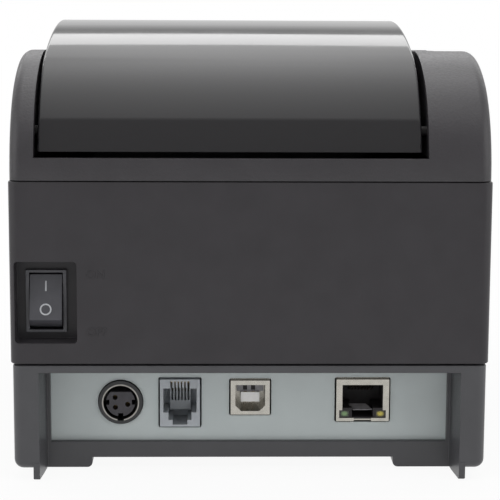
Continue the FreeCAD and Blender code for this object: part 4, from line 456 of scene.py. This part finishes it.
# Carried-over solids: their finish, and smooth shading with sharp edges kept
def dress_solids():
    for row in frame["record"]["subparts"]:
        item = nodes[row["node"]]
        finish = OWN_FINISH.get(row["node"], row["material_slot"])
        item.data.materials.clear()
        item.data.materials.append(FINISHES[finish])
        weld = item.modifiers.new("weld", "WELD")
        weld.merge_threshold = WELD_GAP
        for polygon in item.data.polygons:
            polygon.use_smooth = True
        smooth = item.modifiers.new("edges", "EDGE_SPLIT")
        smooth.split_angle = math.radians(SHARP_ANGLE)


# A new piece on its body, with its finish
def place_piece(name, mesh, body, finish):
    mesh.materials.clear()
    mesh.materials.append(FINISHES[finish])
    piece = new_object(name, mesh)
    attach(piece, body)


# A new piece that its maker shapes in millimetres
def add_piece(name, mesh_maker, body, finish):
    mesh = bpy.data.meshes.new(name)
    shape = bmesh.new()
    mesh_maker(shape)
    bmesh.ops.scale(shape, vec=(MM, MM, MM), verts=shape.verts)
    bmesh.ops.recalc_face_normals(shape, faces=shape.faces)
    shape.to_mesh(mesh)
    shape.free()
    place_piece(name, mesh, body, finish)


# Corners of a square about its middle
SQUARE = ((-1, -1), (1, -1), (1, 1), (-1, 1))

# Steps round the edge of a bar
BAR_STEPS = 2


# A bar with rounded edges between two corners
def bar(shape, low, high, edge_r):
    made = bmesh.ops.create_cube(shape, size=1.0)
    size = Vector(high) - Vector(low)
    middle = (Vector(high) + Vector(low)) / 2
    for vertex in made["verts"]:
        vertex.co = Vector(co * length for co, length in zip(vertex.co, size)) + middle
    edges = {edge for vertex in made["verts"] for edge in vertex.link_edges}
    bmesh.ops.bevel(shape, geom=list(edges), offset=edge_r, segments=BAR_STEPS, affect="EDGES", profile=0.5)


# Band of faces between two rims
def join_rims(shape, first, second):
    count = len(first)
    for corner in range(count):
        after = (corner + 1) % count
        shape.faces.new((first[corner], first[after], second[after], second[corner]))


# Closed solid with a rim at each end
def close_between(shape, first, second):
    shape.faces.new(first)
    shape.faces.new(second)
    join_rims(shape, first, second)


# Rocker marks, in millimetres: the face they are printed on, the bar and the ring
ROCKER_LOW = Vector((61.95, 91.6, 49.4))
ROCKER_HIGH = Vector((61.95, 88.0, 62.8))
MARK_LIFT = 0.05
MARK_SINK = 0.03
BAR_PLACE = 0.7425
BAR_SIZE = (0.46, 3.1)
RING_PLACE = 0.228
RING_RADII = (1.34, 1.78)
RING_STEPS = 40


def on_rocker(along):
    up = (ROCKER_HIGH - ROCKER_LOW).normalized()
    across = Vector((1, 0, 0))
    out = up.cross(across).normalized()
    return ROCKER_LOW.lerp(ROCKER_HIGH, along), across, up, out


def rocker_bar(shape):
    middle, across, up, out = on_rocker(BAR_PLACE)
    wide = across * (BAR_SIZE[0] / 2)
    tall = up * (BAR_SIZE[1] / 2)
    rims = []
    for lift in (-MARK_SINK, MARK_LIFT):
        rims.append([shape.verts.new(middle + wide * u + tall * v + out * lift) for u, v in SQUARE])
    close_between(shape, *rims)


def rocker_ring(shape):
    middle, across, up, out = on_rocker(RING_PLACE)
    inner, outer = RING_RADII
    loops = []
    for radius, lift in ((inner, -MARK_SINK), (outer, -MARK_SINK), (outer, MARK_LIFT), (inner, MARK_LIFT)):
        loop = []
        for step in range(RING_STEPS):
            turn = 2 * math.pi * step / RING_STEPS
            spot = middle + (across * math.cos(turn) + up * math.sin(turn)) * radius + out * lift
            loop.append(shape.verts.new(spot))
        loops.append(loop)
    for first, second in zip(loops, loops[1:] + loops[:1]):
        join_rims(shape, first, second)


# Raised words beside the switch
WORD_HEIGHT = 2.5 * MM
CAPITAL_SHARE = 0.7
WORD_RAISE = 0.12 * MM
WORD_EDGE = 0.03 * MM
WORD_X = 49.4 * MM
WORDS = {"word_on": ("ON", 62.7 * MM), "word_off": ("OFF", 45.2 * MM)}


def raised_word(name, text, height):
    curve = bpy.data.curves.new(name, "FONT")
    curve.body = text
    curve.size = WORD_HEIGHT / CAPITAL_SHARE
    curve.extrude = WORD_RAISE
    curve.bevel_depth = WORD_EDGE
    curve.bevel_resolution = 1
    curve.resolution_u = 4
    maker = new_object(name + "_curve", curve)
    bpy.context.view_layer.update()
    graph = bpy.context.evaluated_depsgraph_get()
    mesh = bpy.data.meshes.new_from_object(maker.evaluated_get(graph))
    bpy.data.objects.remove(maker)
    mesh.name = name
    turn = Matrix.Rotation(math.pi, 4, "Z") @ Matrix.Rotation(math.pi / 2, 4, "X")
    mesh.transform(Matrix.Translation((WORD_X, cad_high.y, height)) @ turn)
    place_piece(name, mesh, "chassis", "casing")


# Sockets, in millimetres: the plane of their mouths, and the pitch of modular contacts
SOCKET_Y = 80.0
CONTACT_PITCH = 1.02

# Drawer jack: guide teeth in the comb and down the back wall, and the block under these
JACK_X = 21.6
JACK_BACK = 68.0
JACK_MOUTH = (17.65, 25.3)
JACK_WAYS = 6
TOOTH_W = 0.56
TOOTH_EDGE = 0.08
COMB_LIFT = 0.2
COMB_TOP = 27.45
COMB_DEPTHS = (2.2, 0.1)
WALL_DEPTH = 3.4
WALL_LOW = 19.5
WALL_SINK = 0.1
BLOCK_DROP = 1.2
BLOCK_EDGE = 0.1


def jack_comb(shape):
    wall_y = JACK_BACK + WALL_DEPTH
    for number in range(JACK_WAYS + 1):
        middle = JACK_X + CONTACT_PITCH * (number - JACK_WAYS / 2)
        x0 = middle - TOOTH_W / 2
        x1 = middle + TOOTH_W / 2
        if 0 < number < JACK_WAYS:
            low = (x0, SOCKET_Y - COMB_DEPTHS[0], JACK_MOUTH[1] + COMB_LIFT)
            bar(shape, low, (x1, SOCKET_Y - COMB_DEPTHS[1], COMB_TOP), TOOTH_EDGE)
        bar(shape, (x0, JACK_BACK, WALL_LOW - WALL_SINK), (x1, wall_y, JACK_MOUTH[1]), TOOTH_EDGE)
    half = CONTACT_PITCH * JACK_WAYS / 2 + TOOTH_W / 2
    low = (JACK_X - half, JACK_BACK, JACK_MOUTH[0] - BLOCK_DROP)
    bar(shape, low, (JACK_X + half, wall_y, WALL_LOW), BLOCK_EDGE)


# Usb socket: moulded roof above the tongue, two dark bars on it as painted shade for its slots, and the
# contacts
USB_X = -0.33
USB_BACK = 70.0
ROOF_HALF = 4.2
ROOF_LOW = 23.9
ROOF_GAP = 0.05
ROOF_DEPTH = 2.4
ROOF_EDGE = 0.1
USB_MOUTH_TOP = 26.4
USB_SLOT_X = (1.58, -0.92)
USB_SLOT_W = 1.3
USB_SLOT_Z = (24.35, 26.1)
USB_SLOT_DEPTHS = (2.6, 2.3)
USB_SLOT_EDGE = 0.08
USB_CONTACT_HALF = 0.5
USB_CONTACT_DEPTH = 2.0

# Height of each row of usb contacts and its edge radius
USB_CONTACT_ROWS = ((23.75, 23.95, 0.06), (20.45, 20.75, 0.08))


def usb_roof(shape):
    low = (USB_X - ROOF_HALF, USB_BACK, ROOF_LOW)
    high = (USB_X + ROOF_HALF, SOCKET_Y - ROOF_DEPTH, USB_MOUTH_TOP - ROOF_GAP)
    bar(shape, low, high, ROOF_EDGE)


# Thin dark bars at the front of the roof: painted shade where the slot openings are
def usb_slot_shades(shape):
    for middle in USB_SLOT_X:
        low = (USB_X + middle - USB_SLOT_W / 2, SOCKET_Y - USB_SLOT_DEPTHS[0], USB_SLOT_Z[0])
        high = (USB_X + middle + USB_SLOT_W / 2, SOCKET_Y - USB_SLOT_DEPTHS[1], USB_SLOT_Z[1])
        bar(shape, low, high, USB_SLOT_EDGE)


def usb_contacts(shape):
    front = SOCKET_Y - USB_CONTACT_DEPTH
    for middle in USB_SLOT_X:
        x0 = USB_X + middle - USB_CONTACT_HALF
        x1 = USB_X + middle + USB_CONTACT_HALF
        for z0, z1, edge_r in USB_CONTACT_ROWS:
            bar(shape, (x0, USB_BACK, z0), (x1, front, z1), edge_r)


# Network jack: eight sloping contacts, by their outline from the side, and the sprung tab
LAN_X = -35.5
LAN_WAYS = 8
LAN_CONTACT_W = 0.4
LAN_CONTACT_SIDE = ((78.0, 26.4), (78.0, 26.05), (69.0, 22.2), (69.0, 22.6))

# Tab corners: offset along X from the jack's middle, depth and height
TAB_CORNERS = ((4.1, 76.0, 19.5), (-1.3, 76.0, 19.5), (-3.2, 78.5, 18.3), (2.9, 78.5, 18.2))
TAB_T = 0.25


def lan_contacts(shape):
    for number in range(LAN_WAYS):
        middle = LAN_X + CONTACT_PITCH * (number - (LAN_WAYS - 1) / 2)
        rims = []
        for x in (middle - LAN_CONTACT_W / 2, middle + LAN_CONTACT_W / 2):
            rims.append([shape.verts.new((x, y, z)) for y, z in LAN_CONTACT_SIDE])
        close_between(shape, *rims)


# The tab's pale grey is painted light on black plastic in the shaded jack
def lan_tab(shape):
    rims = []
    for lift in (0.0, -TAB_T):
        rims.append([shape.verts.new((LAN_X + x, y, z + lift)) for x, y, z in TAB_CORNERS])
    close_between(shape, *rims)


# Studio: pale floor that turns white away from the object, by distance and level
FLOOR_REACH = 16.0
FLOOR_GREY = 0.86
FLOOR_NEAR = (0.13, 0.93)
FLOOR_FAR = (0.55, 1.0)

# Level of the surroundings as light, and in reflections by the angle up from the viewer's side and over
AMBIENT = 0.30
REFLECTED = (
    (0.0, 0.58), (54.0, 0.58), (55.5, 1.0), (100.0, 0.92), (128.0, 0.92), (146.0, 1.0), (151.0, 1.0),
    (157.0, 0.84), (162.0, 0.47), (168.0, 0.86), (180.0, 0.75),
)
HALF_TURN = 180.0

# Soft lights: name, place, aim, width, height, power, whether reflections show it, whether its rim fades
LIGHTS = (
    ("overhead", (0.0, -0.5, 1.1), (0.0, -0.499, 0.0), 1.6, 2.5, 13.7, True, True),
    ("front_left", (0.45, 0.72, 1.15), (0.0, 0.05, 0.08), 0.7, 0.7, 2.0, False, False),
    ("front_right", (-0.50, 0.72, 1.08), (0.0, 0.05, 0.08), 0.7, 0.7, 1.8, False, False),
    ("side_left", (1.10, 0.58, 0.42), (0.0, 0.05, 0.08), 1.0, 1.1, 3.8, True, False),
    ("side_right", (-1.10, 0.58, 0.42), (0.0, 0.05, 0.08), 1.0, 1.1, 3.8, True, False),
    ("back_left", (1.0, -0.85, 0.60), (0.0, -0.05, 0.08), 0.9, 0.9, 3.0, False, False),
    ("back_right", (-1.0, -0.85, 0.60), (0.0, -0.05, 0.08), 0.9, 0.9, 3.0, False, False),
    ("far_strip", (0.0, -0.9, 0.57), (0.0, 0.03, 0.13), 1.5, 0.14, 1.15, True, False),
)

# Share of the overhead lamp's brightness along its length, its peak, and the middle of its width
OVERHEAD_SHARES = ((0.0, 0.18), (0.20, 0.22), (0.42, 0.62), (0.60, 1.0), (0.78, 0.62), (1.0, 0.18))
OVERHEAD_PEAK = 2.0
MIDDLE = 0.5

# Sockets of a mix node for colours: share, first and second colour, and the result
MIX_INPUTS = (0, 6, 7)
MIX_RESULT = 2


# Gives a socket a value, or links an output to it
def feed(tree, socket, value):
    if isinstance(value, bpy.types.NodeSocket):
        tree.links.new(value, socket)
    else:
        socket.default_value = value


def calculated(tree, operation, first, second):
    node = tree.nodes.new("ShaderNodeMath")
    node.operation = operation
    feed(tree, node.inputs[0], first)
    feed(tree, node.inputs[1], second)
    return node.outputs[0]


def mixed(tree, share, first, second):
    node = tree.nodes.new("ShaderNodeMix")
    node.data_type = "RGBA"
    for number, value in zip(MIX_INPUTS, (share, first, second)):
        feed(tree, node.inputs[number], value)
    return node.outputs[MIX_RESULT]


def axes_of(tree, output):
    node = tree.nodes.new("ShaderNodeSeparateXYZ")
    tree.links.new(output, node.inputs[0])
    return node.outputs


# Eased rise between two rows of place and level
def smooth_rise(tree, output, start, end):
    node = tree.nodes.new("ShaderNodeMapRange")
    node.interpolation_type = "SMOOTHSTEP"
    node.inputs["From Min"].default_value = start[0]
    node.inputs["From Max"].default_value = end[0]
    node.inputs["To Min"].default_value = start[1]
    node.inputs["To Max"].default_value = end[1]
    tree.links.new(output, node.inputs["Value"])
    return node.outputs["Result"]


# Greys by rows of place and level
def grey_ramp(tree, output, rows, interpolation="LINEAR"):
    node = tree.nodes.new("ShaderNodeValToRGB")
    node.color_ramp.interpolation = interpolation
    stops = node.color_ramp.elements
    while len(stops) < len(rows):
        stops.new(MIDDLE)
    for stop, (place, level) in zip(stops, rows):
        stop.position = place
        stop.color = grey(level)
    tree.links.new(output, node.inputs["Fac"])
    return node.outputs["Color"]


# One where any of the named kinds of ray arrives
def seen_rays(tree, kinds):
    path = tree.nodes.new("ShaderNodeLightPath")
    reached = path.outputs[kinds[0]]
    for kind in kinds[1:]:
        reached = calculated(tree, "MAXIMUM", reached, path.outputs[kind])
    return reached


def pale_floor():
    material = bpy.data.materials.new("pale_floor")
    material.use_nodes = True
    tree = material.node_tree
    tree.nodes.remove(tree.nodes["Principled BSDF"])
    matte = tree.nodes.new("ShaderNodeBsdfDiffuse")
    matte.inputs["Color"].default_value = grey(FLOOR_GREY)
    glow = tree.nodes.new("ShaderNodeEmission")
    glow.inputs["Color"].default_value = grey(1.0)
    glow.inputs["Strength"].default_value = 1.0
    place = tree.nodes.new("ShaderNodeTexCoord")
    away = tree.nodes.new("ShaderNodeVectorMath")
    away.operation = "LENGTH"
    tree.links.new(place.outputs["Object"], away.inputs[0])
    rise = smooth_rise(tree, away.outputs["Value"], FLOOR_NEAR, FLOOR_FAR)
    seen = seen_rays(tree, ("Is Camera Ray", "Is Glossy Ray", "Is Transmission Ray"))
    blend = tree.nodes.new("ShaderNodeMixShader")
    tree.links.new(calculated(tree, "MULTIPLY", seen, rise), blend.inputs["Fac"])
    tree.links.new(matte.outputs[0], blend.inputs[1])
    tree.links.new(glow.outputs[0], blend.inputs[2])
    tree.links.new(blend.outputs[0], tree.nodes["Material Output"].inputs["Surface"])
    return material


def stage_floor():
    mesh = bpy.data.meshes.new("floor")
    mesh.from_pydata([(FLOOR_REACH * u, FLOOR_REACH * v, 0) for u, v in SQUARE], [], [(0, 1, 2, 3)])
    mesh.materials.append(pale_floor())
    floor = new_object("floor", mesh)


# Levels of the surroundings by the angle about X
def graded(tree):
    place = tree.nodes.new("ShaderNodeTexCoord")
    axes = axes_of(tree, place.outputs["Generated"])
    angle = calculated(tree, "ARCTAN2", axes["Z"], axes["Y"])
    share = calculated(tree, "DIVIDE", angle, math.pi)
    return grey_ramp(tree, share, [(degrees / HALF_TURN, level) for degrees, level in REFLECTED])


# Surroundings: white to the camera, soft as light, graded in reflections
def surroundings():
    world = bpy.data.worlds.new("studio")
    bpy.context.scene.world = world
    world.use_nodes = True
    tree = world.node_tree
    back = tree.nodes["Background"]
    unseen = mixed(tree, seen_rays(tree, ("Is Glossy Ray",)), grey(AMBIENT), graded(tree))
    seen = seen_rays(tree, ("Is Camera Ray", "Is Transmission Ray"))
    tree.links.new(mixed(tree, seen, unseen, grey(1.0)), back.inputs["Color"])
    back.inputs["Strength"].default_value = 1.0


# Lamp brightness that fades to nothing at its long sides and follows the shares along its length
def fading_rim(data):
    data.use_nodes = True
    tree = data.node_tree
    surface = tree.nodes.new("ShaderNodeNewGeometry")
    axes = axes_of(tree, surface.outputs["Parametric"])
    inward = calculated(tree, "PINGPONG", axes["X"], MIDDLE)
    ease = smooth_rise(tree, inward, (0.0, 0.0), (MIDDLE, OVERHEAD_PEAK))
    shares = grey_ramp(tree, axes["Y"], OVERHEAD_SHARES, "B_SPLINE")
    strength = calculated(tree, "MULTIPLY", ease, shares)
    tree.links.new(strength, tree.nodes["Emission"].inputs["Strength"])


def soft_light(name, place, aim, width, height, power, mirrored, fades):
    data = bpy.data.lights.new(name, "AREA")
    data.shape = "RECTANGLE"
    data.size = width
    data.size_y = height
    data.energy = power
    if fades:
        fading_rim(data)
    light = new_object(name, data)
    light.location = place
    light.rotation_mode = "QUATERNION"
    light.rotation_quaternion = (Vector(aim) - Vector(place)).to_track_quat("-Z", "Y")
    light.visible_camera = False
    light.visible_glossy = mirrored


def photo_camera():
    data = bpy.data.cameras.new("camera")
    data.sensor_fit = "HORIZONTAL"
    data.sensor_width = SENSOR
    data.lens = LENS
    data.clip_start = CAMERA_CLIP[0]
    data.clip_end = CAMERA_CLIP[1]
    yaw = math.radians(VIEW_YAW)
    pitch = math.radians(VIEW_PITCH)
    ahead = Vector((math.sin(yaw) * math.cos(pitch), -math.cos(yaw) * math.cos(pitch), -math.sin(pitch)))
    level_turn = ahead.to_track_quat("-Z", "Y")
    camera = new_object("camera", data)
    camera.location = CAMERA_PLACE
    camera.rotation_mode = "QUATERNION"
    camera.rotation_quaternion = level_turn @ Quaternion((0, 0, 1), math.radians(VIEW_ROLL))
    bpy.context.scene.camera = camera


dress_solids()
add_piece("mark_bar", rocker_bar, "rocker", "mark_white")
add_piece("mark_ring", rocker_ring, "rocker", "mark_white")
for word_name, (word_text, word_z) in WORDS.items():
    raised_word(word_name, word_text, word_z)
add_piece("jack_comb", jack_comb, "chassis", "jack_grey")
add_piece("usb_roof", usb_roof, "chassis", "tab_grey")
add_piece("usb_slot_shades", usb_slot_shades, "chassis", "dull_black")
add_piece("usb_contacts", usb_contacts, "chassis", "contact_metal")
add_piece("lan_contacts", lan_contacts, "chassis", "contact_metal")
add_piece("lan_tab", lan_tab, "chassis", "tab_grey")

stage_floor()
surroundings()
for light_row in LIGHTS:
    soft_light(*light_row)
photo_camera()
bpy.context.scene.view_settings.view_transform = "Standard"
